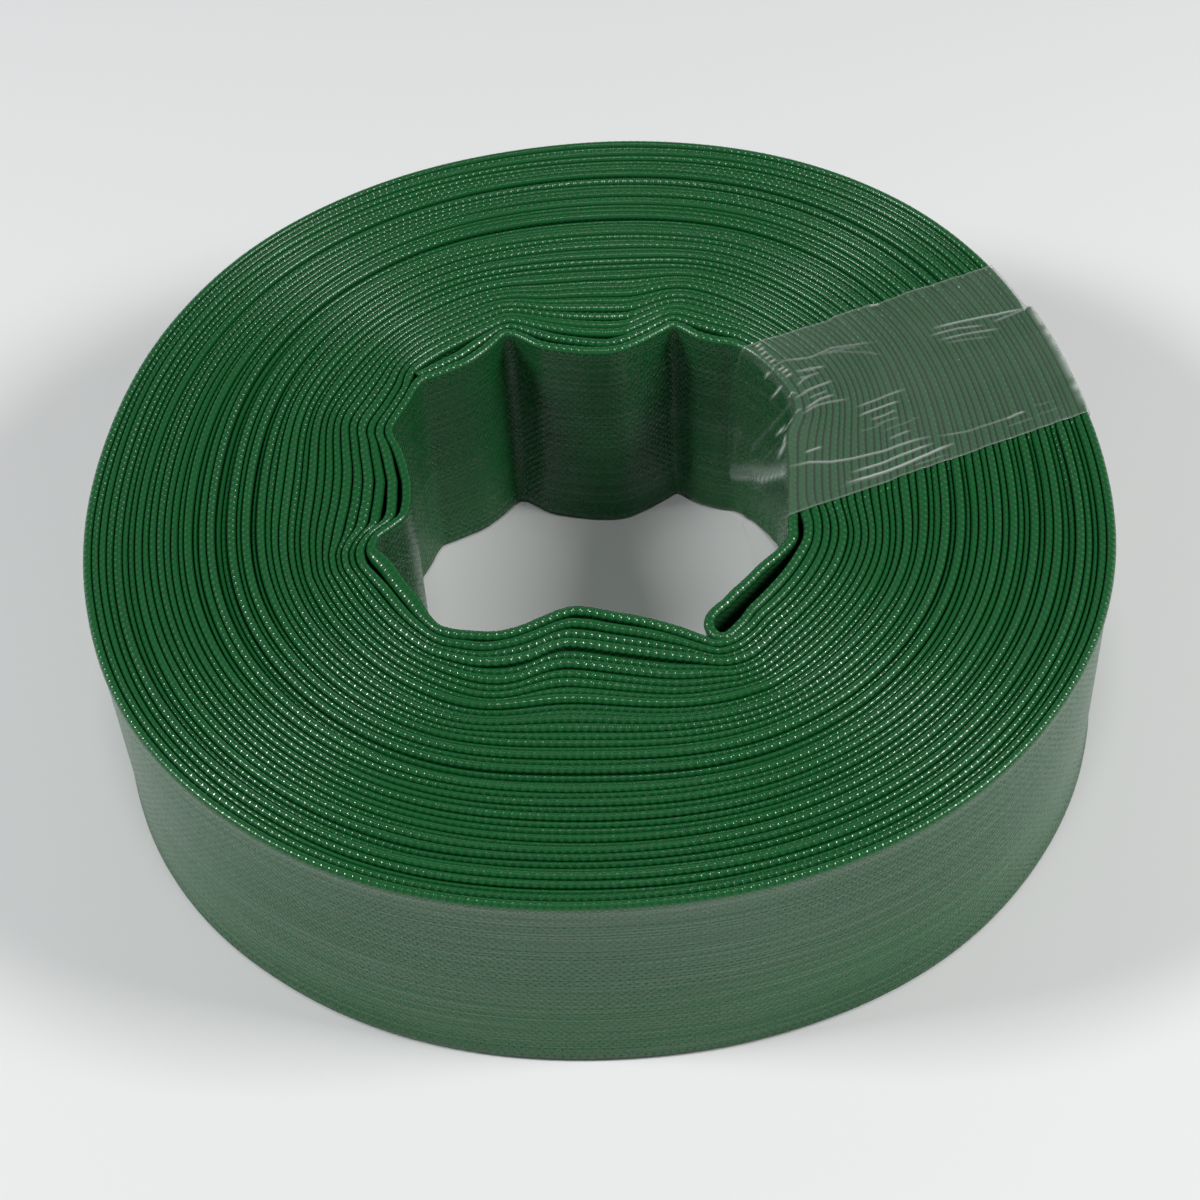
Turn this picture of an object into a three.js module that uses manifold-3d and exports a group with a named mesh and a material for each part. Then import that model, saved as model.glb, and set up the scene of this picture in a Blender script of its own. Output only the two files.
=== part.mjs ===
// Lay-flat irrigation hose, wound flat into a roll and held by one strip of clear tape.
// Millimetres, +Z up, the roll lies flat on z = 0 with its eye on the vertical axis.
//
// The hose is one continuous flat tube. Its turns stand on edge, so the height of the
// roll is the lay-flat width of the hose. It is modelled in four stretches:
//   hose_folded_start  the start of the hose, from the inner cut end back to the fold
//   hose_inner_turn    the fold (an open pocket) and the innermost full turn around the eye
//   hose_coil          the wound turns, one closed ring with the creased eye
//   hose_outer_turn    the outermost turn, up to the outer cut end
// and the strip of clear tape is tape_band, a closed loop round the section of the roll.
import * as THREE from 'three';
import { mergeVertices } from 'three/addons/utils/BufferGeometryUtils.js';
import Module from 'manifold-3d';

// ---- driving dimensions ------------------------------------------------------------
const LAYFLAT_WIDTH = 84;      // flat width of the 51 mm bore hose = height of the roll
const TURN = 2.05;             // thickness of one flattened turn, two walls together
const GAP = 0.3;               // clearance between neighbouring solids
const OUTER_END = 24.5;        // angle of the outer cut end, degrees
const TAPE_WIDTH = 72;         // width of the tape
const TAPE_ANGLE = 20;         // direction of the tape across the roll, degrees
const TAPE_OFFSET = -1.4;      // the tape's centre line passes this far from the axis
const TAPE_FILM = 0.3;         // thickness of the tape solid
const TAPE_SEAT = 0.6;         // how far the tight tape presses into the soft edges

// Angles run counter-clockwise from +X. The innermost turn starts at the fold at 296
// degrees and ends behind it at 656 degrees. Each row gives the radius of a turn's inner
// face at these angles: the creases and bulges of a roll that was squeezed.
const ANG = [
  296, 298, 300, 305, 310, 320, 330, 335, 340, 345, 350, 355, 360, 365, 370, 375,
  380, 385, 390, 400, 405, 410, 415, 420, 424, 427, 430, 433, 436, 440, 445, 450,
  455, 460, 465, 468, 470, 472, 475, 480, 485, 490, 495, 498, 502, 505, 510, 515,
  518, 521, 525, 530, 535, 540, 545, 548, 551, 554, 557, 560, 565, 570, 577, 581,
  587, 590, 595, 600, 605, 610, 615, 620, 625, 630, 635, 640, 645, 650, 653, 656,
];
const INNER_TURN = [
  65.3, 63.4, 62.3, 61.6, 60.8, 60.5, 62.6, 63.7, 62.1, 61.0, 60.5, 60.3, 60.7, 61.3, 62.3, 64.2,
  69.0, 71.7, 73.0, 74.3, 74.8, 74.5, 72.1, 71.3, 72.5, 73.3, 69.0, 64.8, 61.6, 58.6, 57.3, 57.5,
  58.7, 60.7, 64.2, 69.0, 72.2, 73.5, 71.7, 69.5, 68.7, 69.8, 71.9, 73.5, 72.7, 71.7, 71.1, 70.8,
  69.0, 65.6, 62.6, 60.2, 58.7, 58.4, 59.1, 60.3, 64.5, 70.6, 72.5, 70.8, 69.7, 69.7, 70.1, 71.6,
  73.0, 71.9, 69.0, 66.1, 61.6, 56.2, 52.2, 50.2, 50.4, 51.7, 53.3, 55.4, 58.7, 63.4, 67.6, 72.9,
];
const SECOND_TURN = [
  72.9, 74.2, 74.5, 73.5, 72.1, 71.7, 71.6, 71.3, 70.1, 68.2, 66.0, 65.5, 65.8, 66.8, 68.5, 71.4,
  75.0, 77.0, 78.3, 79.9, 80.2, 80.2, 79.3, 78.6, 78.6, 78.5, 76.9, 73.0, 69.7, 66.3, 65.5, 66.0,
  67.6, 70.3, 74.6, 77.5, 78.6, 78.5, 78.2, 77.7, 77.9, 78.2, 78.5, 77.7, 74.8, 74.0, 73.3, 73.3,
  72.4, 69.7, 66.9, 64.7, 63.2, 63.1, 63.6, 64.7, 68.1, 73.5, 76.4, 77.0, 75.8, 75.0, 75.4, 75.8,
  76.1, 75.6, 73.0, 70.6, 66.8, 62.3, 58.7, 57.6, 57.5, 57.9, 59.2, 61.2, 64.5, 69.0, 72.5, 76.1,
];
// the start of the hose, folded back behind the innermost turn
const START_ANG = [
  300, 305, 310, 320, 330, 335, 340, 345, 350, 355, 360, 365, 370, 375, 380, 385,
  390, 400, 405, 410, 415, 420, 424, 427, 430, 433, 436, 440, 445, 450, 455, 460,
  465, 468, 470, 472, 475, 480, 485, 490, 495, 498,
];
const FOLDED_START = [
  72.2, 70.5, 68.7, 68.1, 68.1, 68.2, 67.1, 64.7, 63.1, 62.8, 63.1, 64.0, 65.5, 68.1, 72.2, 74.3,
  75.6, 77.4, 77.7, 77.8, 76.6, 75.9, 75.9, 75.8, 73.5, 69.2, 65.8, 62.4, 60.7, 61.5, 63.1, 65.6,
  70.3, 73.8, 75.4, 75.2, 74.6, 73.5, 72.5, 73.2, 74.3, 75.4,
];
// outline of the roll, [angle, radius], from just past the outer cut end once round to it
const OUTLINE = [
  [24.5, 157.5], [27, 158.4], [30, 159.4], [35, 160.7], [40, 161.9], [45, 162.7],
  [50, 163.1], [55, 163.2], [60, 163.0], [65, 162.7], [70, 162.1], [75, 161.4],
  [80, 160.7], [85, 160.2], [90, 159.7], [95, 159.4], [100, 159.4], [105, 159.7],
  [110, 160.0], [115, 160.3], [120, 160.6], [125, 161.0], [130, 161.3], [135, 161.5],
  [140, 161.2], [145, 160.8], [150, 160.3], [155, 159.9], [160, 159.2], [165, 158.9],
  [170, 158.7], [175, 158.9], [180, 159.4], [185, 159.9], [190, 160.6], [195, 161.2],
  [200, 161.9], [205, 162.7], [210, 163.1], [215, 163.2], [220, 163.0], [225, 162.5],
  [230, 161.9], [235, 161.5], [240, 160.8], [245, 159.9], [250, 158.9], [255, 158.1],
  [260, 157.3], [265, 156.8], [270, 156.6], [275, 156.8], [280, 157.3], [285, 157.9],
  [290, 158.7], [295, 159.7], [300, 160.7], [305, 161.5], [310, 162.0], [315, 162.3],
  [320, 162.3], [325, 162.3], [330, 162.2], [335, 161.9], [340, 161.2], [345, 160.5],
  [350, 159.5], [355, 158.6], [360, 157.8], [365, 157.3], [370, 157.1], [375, 157.6],
  [380, 158.6], [384.5, 159.2],
];
// centre line of the fold, [angle, radius], from the innermost turn back into the start
const FOLD = [
  [306, 62.7], [303, 63.1], [300.5, 63.8], [298.6, 65.0], [297.5, 66.8], [297.0, 68.9],
  [297.1, 71.0], [297.9, 72.7], [299.4, 73.3], [301.2, 72.9],
];

// ---- interpolation (monotone cubic) --------------------------------------------------
function curve(x, y) {
  const n = x.length, h = [], d = [], m = new Array(n).fill(0);
  for (let i = 0; i < n - 1; i++) { h.push(x[i + 1] - x[i]); d.push((y[i + 1] - y[i]) / h[i]); }
  for (let i = 1; i < n - 1; i++) {
    if (d[i - 1] * d[i] > 0) {
      const a = 2 * h[i] + h[i - 1], b = h[i] + 2 * h[i - 1];
      m[i] = (a + b) / (a / d[i - 1] + b / d[i]);
    }
  }
  m[0] = d[0]; m[n - 1] = d[n - 2];
  return (q) => {
    let i = 0;
    while (i < n - 2 && q > x[i + 1]) i++;
    const t = Math.min(1, Math.max(0, (q - x[i]) / h[i]));
    return (1 + 2 * t) * (1 - t) ** 2 * y[i] + t * (1 - t) ** 2 * h[i] * m[i]
      + t * t * (3 - 2 * t) * y[i + 1] + t * t * (t - 1) * h[i] * m[i + 1];
  };
}
const innerTurn = curve(ANG, INNER_TURN);
const secondTurn = curve(ANG, SECOND_TURN);
const foldedStart = curve(START_ANG, FOLDED_START);
const outline = curve(OUTLINE.map((p) => p[0]), OUTLINE.map((p) => p[1]));
// outer face of the roll at any angle; it steps down by one turn past the outer cut end
const outerFace = (a) => outline(((a - OUTER_END) % 360 + 360) % 360 + OUTER_END);
const polar = (a, r) => new THREE.Vector2(r * Math.cos(a * Math.PI / 180), r * Math.sin(a * Math.PI / 180));

// ---- solids --------------------------------------------------------------------------
// A plan outline raised to the height of the roll.
function prism(points, hole, z0 = 0, z1 = LAYFLAT_WIDTH) {
  const shape = new THREE.Shape(points);
  if (hole) shape.holes.push(new THREE.Path(hole));
  const g = new THREE.ExtrudeGeometry(shape, { depth: z1 - z0, bevelEnabled: false, steps: 1 });
  g.translate(0, 0, z0);
  return g;
}
// A ribbon of constant thickness along a centre line in plan.
function ribbon(centre, thickness) {
  const left = [], right = [];
  for (let i = 0; i < centre.length; i++) {
    const a = centre[Math.max(0, i - 1)], b = centre[Math.min(centre.length - 1, i + 1)];
    const t = b.clone().sub(a).normalize(), n = new THREE.Vector2(-t.y, t.x).multiplyScalar(thickness / 2);
    left.push(centre[i].clone().add(n)); right.push(centre[i].clone().sub(n));
  }
  return prism([...right, ...left.reverse()]);
}
// Points along a polar curve. The step is in degrees.
function along(from, to, step, radius) {
  const n = Math.max(2, Math.round(Math.abs(to - from) / step)), out = [];
  for (let i = 0; i <= n; i++) { const a = from + (to - from) * i / n; out.push(polar(a, radius(a))); }
  return out;
}
// offset of a polar curve along its normal, so that a turn keeps its thickness on a slope
function offsetCurve(radius, d) {
  return (a) => {
    const e = 0.5, r = radius(a);
    const slope = (radius(a + e) - radius(a - e)) / (2 * e * Math.PI / 180);
    return r + d * Math.hypot(1, slope / r);
  };
}

const wasm = await Module();
wasm.setup();
function toSolid(geometry) {
  const g = geometry.clone();
  g.deleteAttribute('normal'); g.deleteAttribute('uv');
  const m = mergeVertices(g, 1e-4);
  return new wasm.Manifold(new wasm.Mesh({
    numProp: 3,
    vertProperties: new Float32Array(m.attributes.position.array),
    triVerts: new Uint32Array(m.index.array),
  }));
}
function toGeometry(solid) {
  const m = solid.getMesh(), g = new THREE.BufferGeometry();
  g.setAttribute('position', new THREE.BufferAttribute(new Float32Array(m.vertProperties), 3));
  g.setIndex(new THREE.BufferAttribute(new Uint32Array(m.triVerts), 1));
  g.computeVertexNormals();
  return g;
}

// the one body that is left when a cut leaves crumbs behind
function largest(solid) {
  return solid.decompose().reduce((a, b) => (b.volume() > a.volume() ? b : a));
}

// innermost turn with the fold: from where the start of the hose meets the fold, round the
// fold, then counter-clockwise once round the eye
const foldPoints = FOLD.map(([a, r]) => polar(a, r)).reverse();
const innerCentre = [
  ...foldPoints,
  ...along(309, 654.5, 2.2, offsetCurve(innerTurn, TURN / 2)),
];
const innerTurnBody = toSolid(ribbon(innerCentre, TURN - 0.1));
const innerTurnRoom = toSolid(ribbon(innerCentre, TURN - 0.1 + 2 * GAP));

// the start of the hose: from the inner cut end at 498 degrees, clockwise to the fold
const startCentre = along(303.2, 497.5, 2.2, offsetCurve(foldedStart, TURN / 2 + 0.12));
const startRoom = toSolid(ribbon([...along(301.6, 303, 1, offsetCurve(foldedStart, TURN / 2 + 0.12)), ...startCentre,
  polar(498.3, foldedStart(498) + TURN / 2 + 0.12)], TURN - 0.35 + 2 * GAP));
// the two stretches keep a small gap where the roll is pressed tight
const startBody = largest(toSolid(ribbon(startCentre, TURN - 0.35)).subtract(innerTurnRoom));

// the wound turns: everything outside the inner turn and the folded start
const lastTurn = (a) => outerFace(a) - TURN - GAP;   // inner face of the outermost turn
function eyeOfCoil(a) {                              // a runs 296 to 656
  return offsetCurve(secondTurn, 0.25)(Math.min(655.5, Math.max(296.5, a)));
}
const coilOuter = [];
for (let a = OUTER_END + 0.2; a < OUTER_END + 360; a += 2.99) coilOuter.push(polar(a, lastTurn(a) - GAP));
const coilInner = [];
for (let a = 296; a < 655.5; a += 2.2) coilInner.push(polar(a, eyeOfCoil(a)));
const coil = largest(toSolid(prism(coilOuter, coilInner)).subtract(innerTurnRoom).subtract(startRoom));
// the outermost turn, from just behind its own cut end once round to the cut end
const outerCentre = along(OUTER_END + 1.2, OUTER_END + 359.99, 3, (a) => lastTurn(a) + GAP + TURN / 2);
const outerTurn = toSolid(ribbon(outerCentre, TURN));

// ---- tape ------------------------------------------------------------------------------
// Along each line across the tape's width, the tape leaves the eye wall, crosses the top,
// goes down the outer wall, back under the roll and up the eye wall.
const dir = new THREE.Vector2(Math.cos(TAPE_ANGLE * Math.PI / 180), Math.sin(TAPE_ANGLE * Math.PI / 180));
const side = new THREE.Vector2(-dir.y, dir.x);
function hit(radius, v, from, to) {   // distance along dir where the line at v meets a polar curve
  let lo = from, hi = to;
  const f = (s) => {
    const p = dir.clone().multiplyScalar(s).addScaledVector(side, v);
    let a = Math.atan2(p.y, p.x) * 180 / Math.PI; if (a < 0) a += 360;
    return p.length() - radius(a);
  };
  for (let i = 0; i < 40; i++) { const m = (lo + hi) / 2; if (f(m) < 0) lo = m; else hi = m; }
  return (lo + hi) / 2;
}
const eyeWall = (a) => innerTurn(a < 180 ? a + 360 : a);
function tapeLoop(v, grow) {
  // grow > 0 is outwards from the surface of the roll, < 0 is into it
  const s0 = hit(eyeWall, v, 0, 110) - grow, s1 = hit(outerFace, v, 110, 200) + grow;
  const z0 = -grow, z1 = LAYFLAT_WIDTH + grow, r = 2.0, pts = [], k = 3;
  const corner = (cs, cz, a0) => {
    for (let i = 0; i <= k; i++) { const a = (a0 + 90 * i / k) * Math.PI / 180; pts.push([cs + r * Math.cos(a), cz + r * Math.sin(a)]); }
  };
  corner(s1 - r, z0 + r, -90); corner(s1 - r, z1 - r, 0); corner(s0 + r, z1 - r, 90); corner(s0 + r, z0 + r, 180);
  return pts.map(([s, z]) => { const p = dir.clone().multiplyScalar(s).addScaledVector(side, v); return new THREE.Vector3(p.x, p.y, z); });
}
// closed band between two loops, lofted across the width
function band(half, growIn, growOut, stations) {
  const pos = [], idx = [], A = [], B = [];
  for (let j = 0; j <= stations; j++) {
    const v = TAPE_OFFSET - half + 2 * half * j / stations;
    A.push(tapeLoop(v, growOut)); B.push(tapeLoop(v, growIn));
  }
  const n = A[0].length, push = (p) => { pos.push(p.x, p.y, p.z); return pos.length / 3 - 1; };
  const ia = A.map((l) => l.map(push)), ib = B.map((l) => l.map(push));
  const quad = (a, b, c, d) => idx.push(a, b, c, a, c, d);
  for (let j = 0; j < stations; j++) for (let i = 0; i < n; i++) {
    const k = (i + 1) % n;
    quad(ia[j][i], ia[j + 1][i], ia[j + 1][k], ia[j][k]);
    quad(ib[j][i], ib[j][k], ib[j + 1][k], ib[j + 1][i]);
  }
  for (let i = 0; i < n; i++) {
    const k = (i + 1) % n, e = stations;
    quad(ia[0][i], ia[0][k], ib[0][k], ib[0][i]);
    quad(ia[e][i], ib[e][i], ib[e][k], ia[e][k]);
  }
  const g = new THREE.BufferGeometry();
  g.setAttribute('position', new THREE.Float32BufferAttribute(pos, 3)); g.setIndex(idx);
  return g;
}
function closedUp(geometry) {   // face directions pointing out
  let s = toSolid(geometry);
  if (s.volume() < 0) {
    const i = geometry.index.array; for (let k = 0; k < i.length; k += 3) { const t = i[k]; i[k] = i[k + 1]; i[k + 1] = t; }
    s = toSolid(geometry);
  }
  return s;
}
const STATIONS = 18;
const tape = closedUp(band(TAPE_WIDTH / 2, -TAPE_FILM, 0, STATIONS));
const seat = closedUp(band(TAPE_WIDTH / 2 + GAP, -TAPE_SEAT, 1.0, STATIONS));

// ---- assembly ----------------------------------------------------------------------------
const vinyl = (roughness) => new THREE.MeshStandardMaterial({ color: 0x1f6b3a, roughness, metalness: 0 });
const parts = [
  ['hose_coil', largest(coil.subtract(seat)), vinyl(0.42)],
  ['hose_inner_turn', largest(innerTurnBody.subtract(seat)), vinyl(0.42)],
  ['hose_folded_start', largest(startBody.subtract(seat)), vinyl(0.42)],
  ['hose_outer_turn', largest(outerTurn.subtract(seat)), vinyl(0.42)],
  ['tape_band', tape, new THREE.MeshStandardMaterial({ color: 0xe8ece9, roughness: 0.12, metalness: 0, transparent: true, opacity: 0.3 })],
];
const roll = new THREE.Group();
for (const [name, solid, material] of parts) {
  const mesh = new THREE.Mesh(toGeometry(solid), material);
  mesh.name = name;
  roll.add(mesh);
}
// the axis of the eye is moved so that the origin is under the middle of the roll's box
const box = new THREE.Box3().setFromObject(roll), mid = box.getCenter(new THREE.Vector3());
roll.position.set(-mid.x, -mid.y, 0);
const object = new THREE.Group();
object.add(roll);
export default object;
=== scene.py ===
import math
import bpy
import numpy as np
from mathutils import Matrix, Vector


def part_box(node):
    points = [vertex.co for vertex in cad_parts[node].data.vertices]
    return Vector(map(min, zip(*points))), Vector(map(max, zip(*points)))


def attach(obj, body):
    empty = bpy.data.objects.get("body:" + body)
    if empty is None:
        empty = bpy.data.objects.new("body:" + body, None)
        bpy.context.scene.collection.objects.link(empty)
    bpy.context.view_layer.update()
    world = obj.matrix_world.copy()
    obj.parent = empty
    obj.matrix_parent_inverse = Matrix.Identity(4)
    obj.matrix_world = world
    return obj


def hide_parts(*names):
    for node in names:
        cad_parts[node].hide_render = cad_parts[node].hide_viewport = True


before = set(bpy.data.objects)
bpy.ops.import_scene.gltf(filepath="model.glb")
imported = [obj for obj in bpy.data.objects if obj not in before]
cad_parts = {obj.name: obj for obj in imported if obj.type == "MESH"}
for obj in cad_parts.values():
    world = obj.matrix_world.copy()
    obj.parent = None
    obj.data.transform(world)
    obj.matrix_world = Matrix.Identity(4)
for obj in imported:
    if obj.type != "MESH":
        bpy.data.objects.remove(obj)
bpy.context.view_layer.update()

MM = 0.001

# ---- dimensions, as in the CAD model, in millimetres ----------------------------------
WIDTH = 84.0          # lay-flat width = height of the roll
TURN = 2.05           # thickness of one turn, two walls
OUTER_END = 24.5      # angle of the outer cut end, degrees
LAST = 24.5 + 360 * 41  # the same angle counted along the hose from the fold at 296
TAPE_WIDTH, TAPE_ANGLE = 72.0, 20.0
TAPE_MID = -3.5         # the middle of the tape, to the side of the origin
BEAD = 2.45           # repeat of the woven yarn along the hose
ROW = 1.4            # distance between neighbouring rows of the weave

ANG = [296, 298, 300, 305, 310, 320, 330, 335, 340, 345, 350, 355, 360, 365, 370, 375, 380, 385, 390, 400, 405, 410,
    415, 420, 424, 427, 430, 433, 436, 440, 445, 450, 455, 460, 465, 468, 470, 472, 475, 480, 485, 490, 495, 498,
    502, 505, 510, 515, 518, 521, 525, 530, 535, 540, 545, 548, 551, 554, 557, 560, 565, 570, 577, 581, 587, 590,
    595, 600, 605, 610, 615, 620, 625, 630, 635, 640, 645, 650, 653, 656]
K1 = [65.3, 63.4, 62.3, 61.6, 60.8, 60.5, 62.6, 63.7, 62.1, 61.0, 60.5, 60.3, 60.7, 61.3, 62.3, 64.2, 69.0, 71.7,
    73.0, 74.3, 74.8, 74.5, 72.1, 71.3, 72.5, 73.3, 69.0, 64.8, 61.6, 58.6, 57.3, 57.5, 58.7, 60.7, 64.2, 69.0,
    72.2, 73.5, 71.7, 69.5, 68.7, 69.8, 71.9, 73.5, 72.7, 71.7, 71.1, 70.8, 69.0, 65.6, 62.6, 60.2, 58.7, 58.4,
    59.1, 60.3, 64.5, 70.6, 72.5, 70.8, 69.7, 69.7, 70.1, 71.6, 73.0, 71.9, 69.0, 66.1, 61.6, 56.2, 52.2, 50.2,
    50.4, 51.7, 53.3, 55.4, 58.7, 63.4, 67.6, 72.9]
K2 = [72.9, 74.2, 74.5, 73.5, 72.1, 71.7, 71.6, 71.3, 70.1, 68.2, 66.0, 65.5, 65.8, 66.8, 68.5, 71.4, 75.0, 77.0,
    78.3, 79.9, 80.2, 80.2, 79.3, 78.6, 78.6, 78.5, 76.9, 73.0, 69.7, 66.3, 65.5, 66.0, 67.6, 70.3, 74.6, 77.5,
    78.6, 78.5, 78.2, 77.7, 77.9, 78.2, 78.5, 77.7, 74.8, 74.0, 73.3, 73.3, 72.4, 69.7, 66.9, 64.7, 63.2, 63.1,
    63.6, 64.7, 68.1, 73.5, 76.4, 77.0, 75.8, 75.0, 75.4, 75.8, 76.1, 75.6, 73.0, 70.6, 66.8, 62.3, 58.7, 57.6,
    57.5, 57.9, 59.2, 61.2, 64.5, 69.0, 72.5, 76.1]
K3 = [76.1, 76.7, 77.0, 76.2, 74.8, 74.5, 74.2, 73.8, 72.7, 70.8, 68.4, 67.9, 68.2, 69.2, 70.9, 73.8, 77.2, 79.1,
    80.7, 82.2, 82.4, 82.5, 82.5, 82.5, 82.4, 82.2, 80.7, 77.4, 73.8, 70.3, 69.5, 70.0, 71.6, 74.2, 78.0, 80.3,
    81.1, 80.9, 80.7, 80.7, 81.1, 81.4, 81.2, 80.2, 77.8, 76.9, 76.1, 76.2, 75.4, 73.0, 70.8, 68.5, 67.2, 67.4,
    68.4, 69.3, 71.9, 76.4, 79.0, 79.6, 78.8, 78.5, 78.5, 78.5, 78.5, 78.2, 76.2, 74.2, 70.9, 66.4, 62.0, 59.7,
    59.5, 60.8, 62.6, 65.0, 68.1, 71.7, 75.0, 78.5]
K5 = [80.4, 81.0, 81.4, 80.4, 79.3, 79.0, 79.0, 78.6, 77.8, 75.8, 73.5, 72.7, 72.9, 73.8, 75.6, 78.3, 81.5, 83.7,
    85.1, 86.3, 86.5, 86.7, 87.0, 87.3, 87.3, 87.2, 86.2, 83.8, 80.7, 78.0, 77.5, 77.8, 78.6, 80.2, 83.5, 85.2,
    85.7, 85.7, 85.7, 85.7, 85.9, 86.2, 85.7, 85.1, 83.5, 82.8, 82.3, 82.5, 81.7, 79.6, 77.5, 75.3, 74.3, 74.5,
    75.8, 76.9, 78.6, 81.1, 82.8, 83.3, 83.0, 82.8, 82.7, 82.7, 82.7, 82.4, 81.2, 79.9, 77.8, 74.2, 68.7, 66.4,
    66.8, 68.1, 69.8, 72.2, 75.1, 78.0, 80.2, 82.8]
START_ANG = [300, 305, 310, 320, 330, 335, 340, 345, 350, 355, 360, 365, 370, 375, 380, 385, 390, 400, 405, 410, 415, 420,
    424, 427, 430, 433, 436, 440, 445, 450, 455, 460, 465, 468, 470, 472, 475, 480, 485, 490, 495, 498]
KT = [72.2, 70.5, 68.7, 68.1, 68.1, 68.2, 67.1, 64.7, 63.1, 62.8, 63.1, 64.0, 65.5, 68.1, 72.2, 74.3, 75.6, 77.4,
    77.7, 77.8, 76.6, 75.9, 75.9, 75.8, 73.5, 69.2, 65.8, 62.4, 60.7, 61.5, 63.1, 65.6, 70.3, 73.8, 75.4, 75.2,
    74.6, 73.5, 72.5, 73.2, 74.3, 75.4]
OUTLINE = [[24.5, 157.5], [27, 158.4], [30, 159.4], [35, 160.7], [40, 161.9], [45, 162.7], [50, 163.1], [55, 163.2], [60,
    163.0], [65, 162.7], [70, 162.1], [75, 161.4], [80, 160.7], [85, 160.2], [90, 159.7], [95, 159.4], [100, 159.4],
    [105, 159.7], [110, 160.0], [115, 160.3], [120, 160.6], [125, 161.0], [130, 161.3], [135, 161.5], [140, 161.2],
    [145, 160.8], [150, 160.3], [155, 159.9], [160, 159.2], [165, 158.9], [170, 158.7], [175, 158.9], [180, 159.4],
    [185, 159.9], [190, 160.6], [195, 161.2], [200, 161.9], [205, 162.7], [210, 163.1], [215, 163.2], [220, 163.0],
    [225, 162.5], [230, 161.9], [235, 161.5], [240, 160.8], [245, 159.9], [250, 158.9], [255, 158.1], [260, 157.3],
    [265, 156.8], [270, 156.6], [275, 156.8], [280, 157.3], [285, 157.9], [290, 158.7], [295, 159.7], [300, 160.7],
    [305, 161.5], [310, 162.0], [315, 162.3], [320, 162.3], [325, 162.3], [330, 162.2], [335, 161.9], [340, 161.2],
    [345, 160.5], [350, 159.5], [355, 158.6], [360, 157.8], [365, 157.3], [370, 157.1], [375, 157.6], [380, 158.6],
    [384.5, 159.2]]
FOLD = [(306, 62.7), (303, 63.1), (300.5, 63.8), (298.6, 65.0), (297.5, 66.8), (297.0, 68.9),
        (297.1, 71.0), (297.9, 72.7), (299.4, 73.3), (301.2, 72.9)]


def pchip(x, y, q):
    """Monotone cubic through (x, y), read at q."""
    x, y, q = np.asarray(x, float), np.asarray(y, float), np.asarray(q, float)
    h = np.diff(x)
    d = np.diff(y) / h
    m = np.zeros_like(y)
    same = d[:-1] * d[1:] > 0
    a, b = 2 * h[1:] + h[:-1], h[1:] + 2 * h[:-1]
    with np.errstate(divide="ignore", invalid="ignore"):
        mm = (a + b) / (a / d[:-1] + b / d[1:])
    m[1:-1] = np.where(same, mm, 0)
    m[0], m[-1] = d[0], d[-1]
    i = np.clip(np.searchsorted(x, q, side="right") - 1, 0, len(x) - 2)
    t = np.clip((q - x[i]) / h[i], 0, 1)
    return ((1 + 2 * t) * (1 - t) ** 2 * y[i] + t * (1 - t) ** 2 * h[i] * m[i]
            + t * t * (3 - 2 * t) * y[i + 1] + t * t * (t - 1) * h[i] * m[i + 1])


def smooth_noise(rng, n, step, length):
    """1-D noise of unit size on n samples that are step apart, with features of that length."""
    k = max(4, int(math.ceil(n * step / length)) + 3)
    v = rng.normal(size=k)
    t = np.arange(n) * step / length + 0.5
    i = t.astype(int)
    f = t - i
    f = f * f * (3 - 2 * f)
    i = np.clip(i, 0, k - 2)
    return v[i] * (1 - f) + v[i + 1] * f


def noise_at(rng, x, length):
    """1-D noise of unit size at the positions x, with features of that length."""
    x = np.asarray(x, float) / length
    x = x - x.min() + rng.random()
    v = rng.normal(size=int(x.max()) + 3)
    i = x.astype(int)
    f = x - i
    f = f * f * (3 - 2 * f)
    return v[i] * (1 - f) + v[i + 1] * f


def blur(v, sigma):
    """Gaussian blur along the first axis, sigma in samples, ends held."""
    r = int(3 * sigma + 1)
    w = np.exp(-0.5 * (np.arange(-r, r + 1) / sigma) ** 2)
    w /= w.sum()
    v = np.asarray(v, float)
    pad = np.concatenate([np.repeat(v[:1], r, 0), v, np.repeat(v[-1:], r, 0)])
    if v.ndim == 1:
        return np.convolve(pad, w, "valid")
    return np.stack([np.convolve(pad[:, c], w, "valid") for c in range(v.shape[1])], 1)


# ---- the route of the hose ---------------------------------------------------------------
STEP = 0.5                                  # degrees
PER = int(360 / STEP)
BASE = 296.0
rng = np.random.default_rng(20261116)


def outer_face(a):
    x, y = [p[0] for p in OUTLINE], [p[1] for p in OUTLINE]
    return pchip(x, y, (np.asarray(a, float) - OUTER_END) % 360 + OUTER_END)


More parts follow.
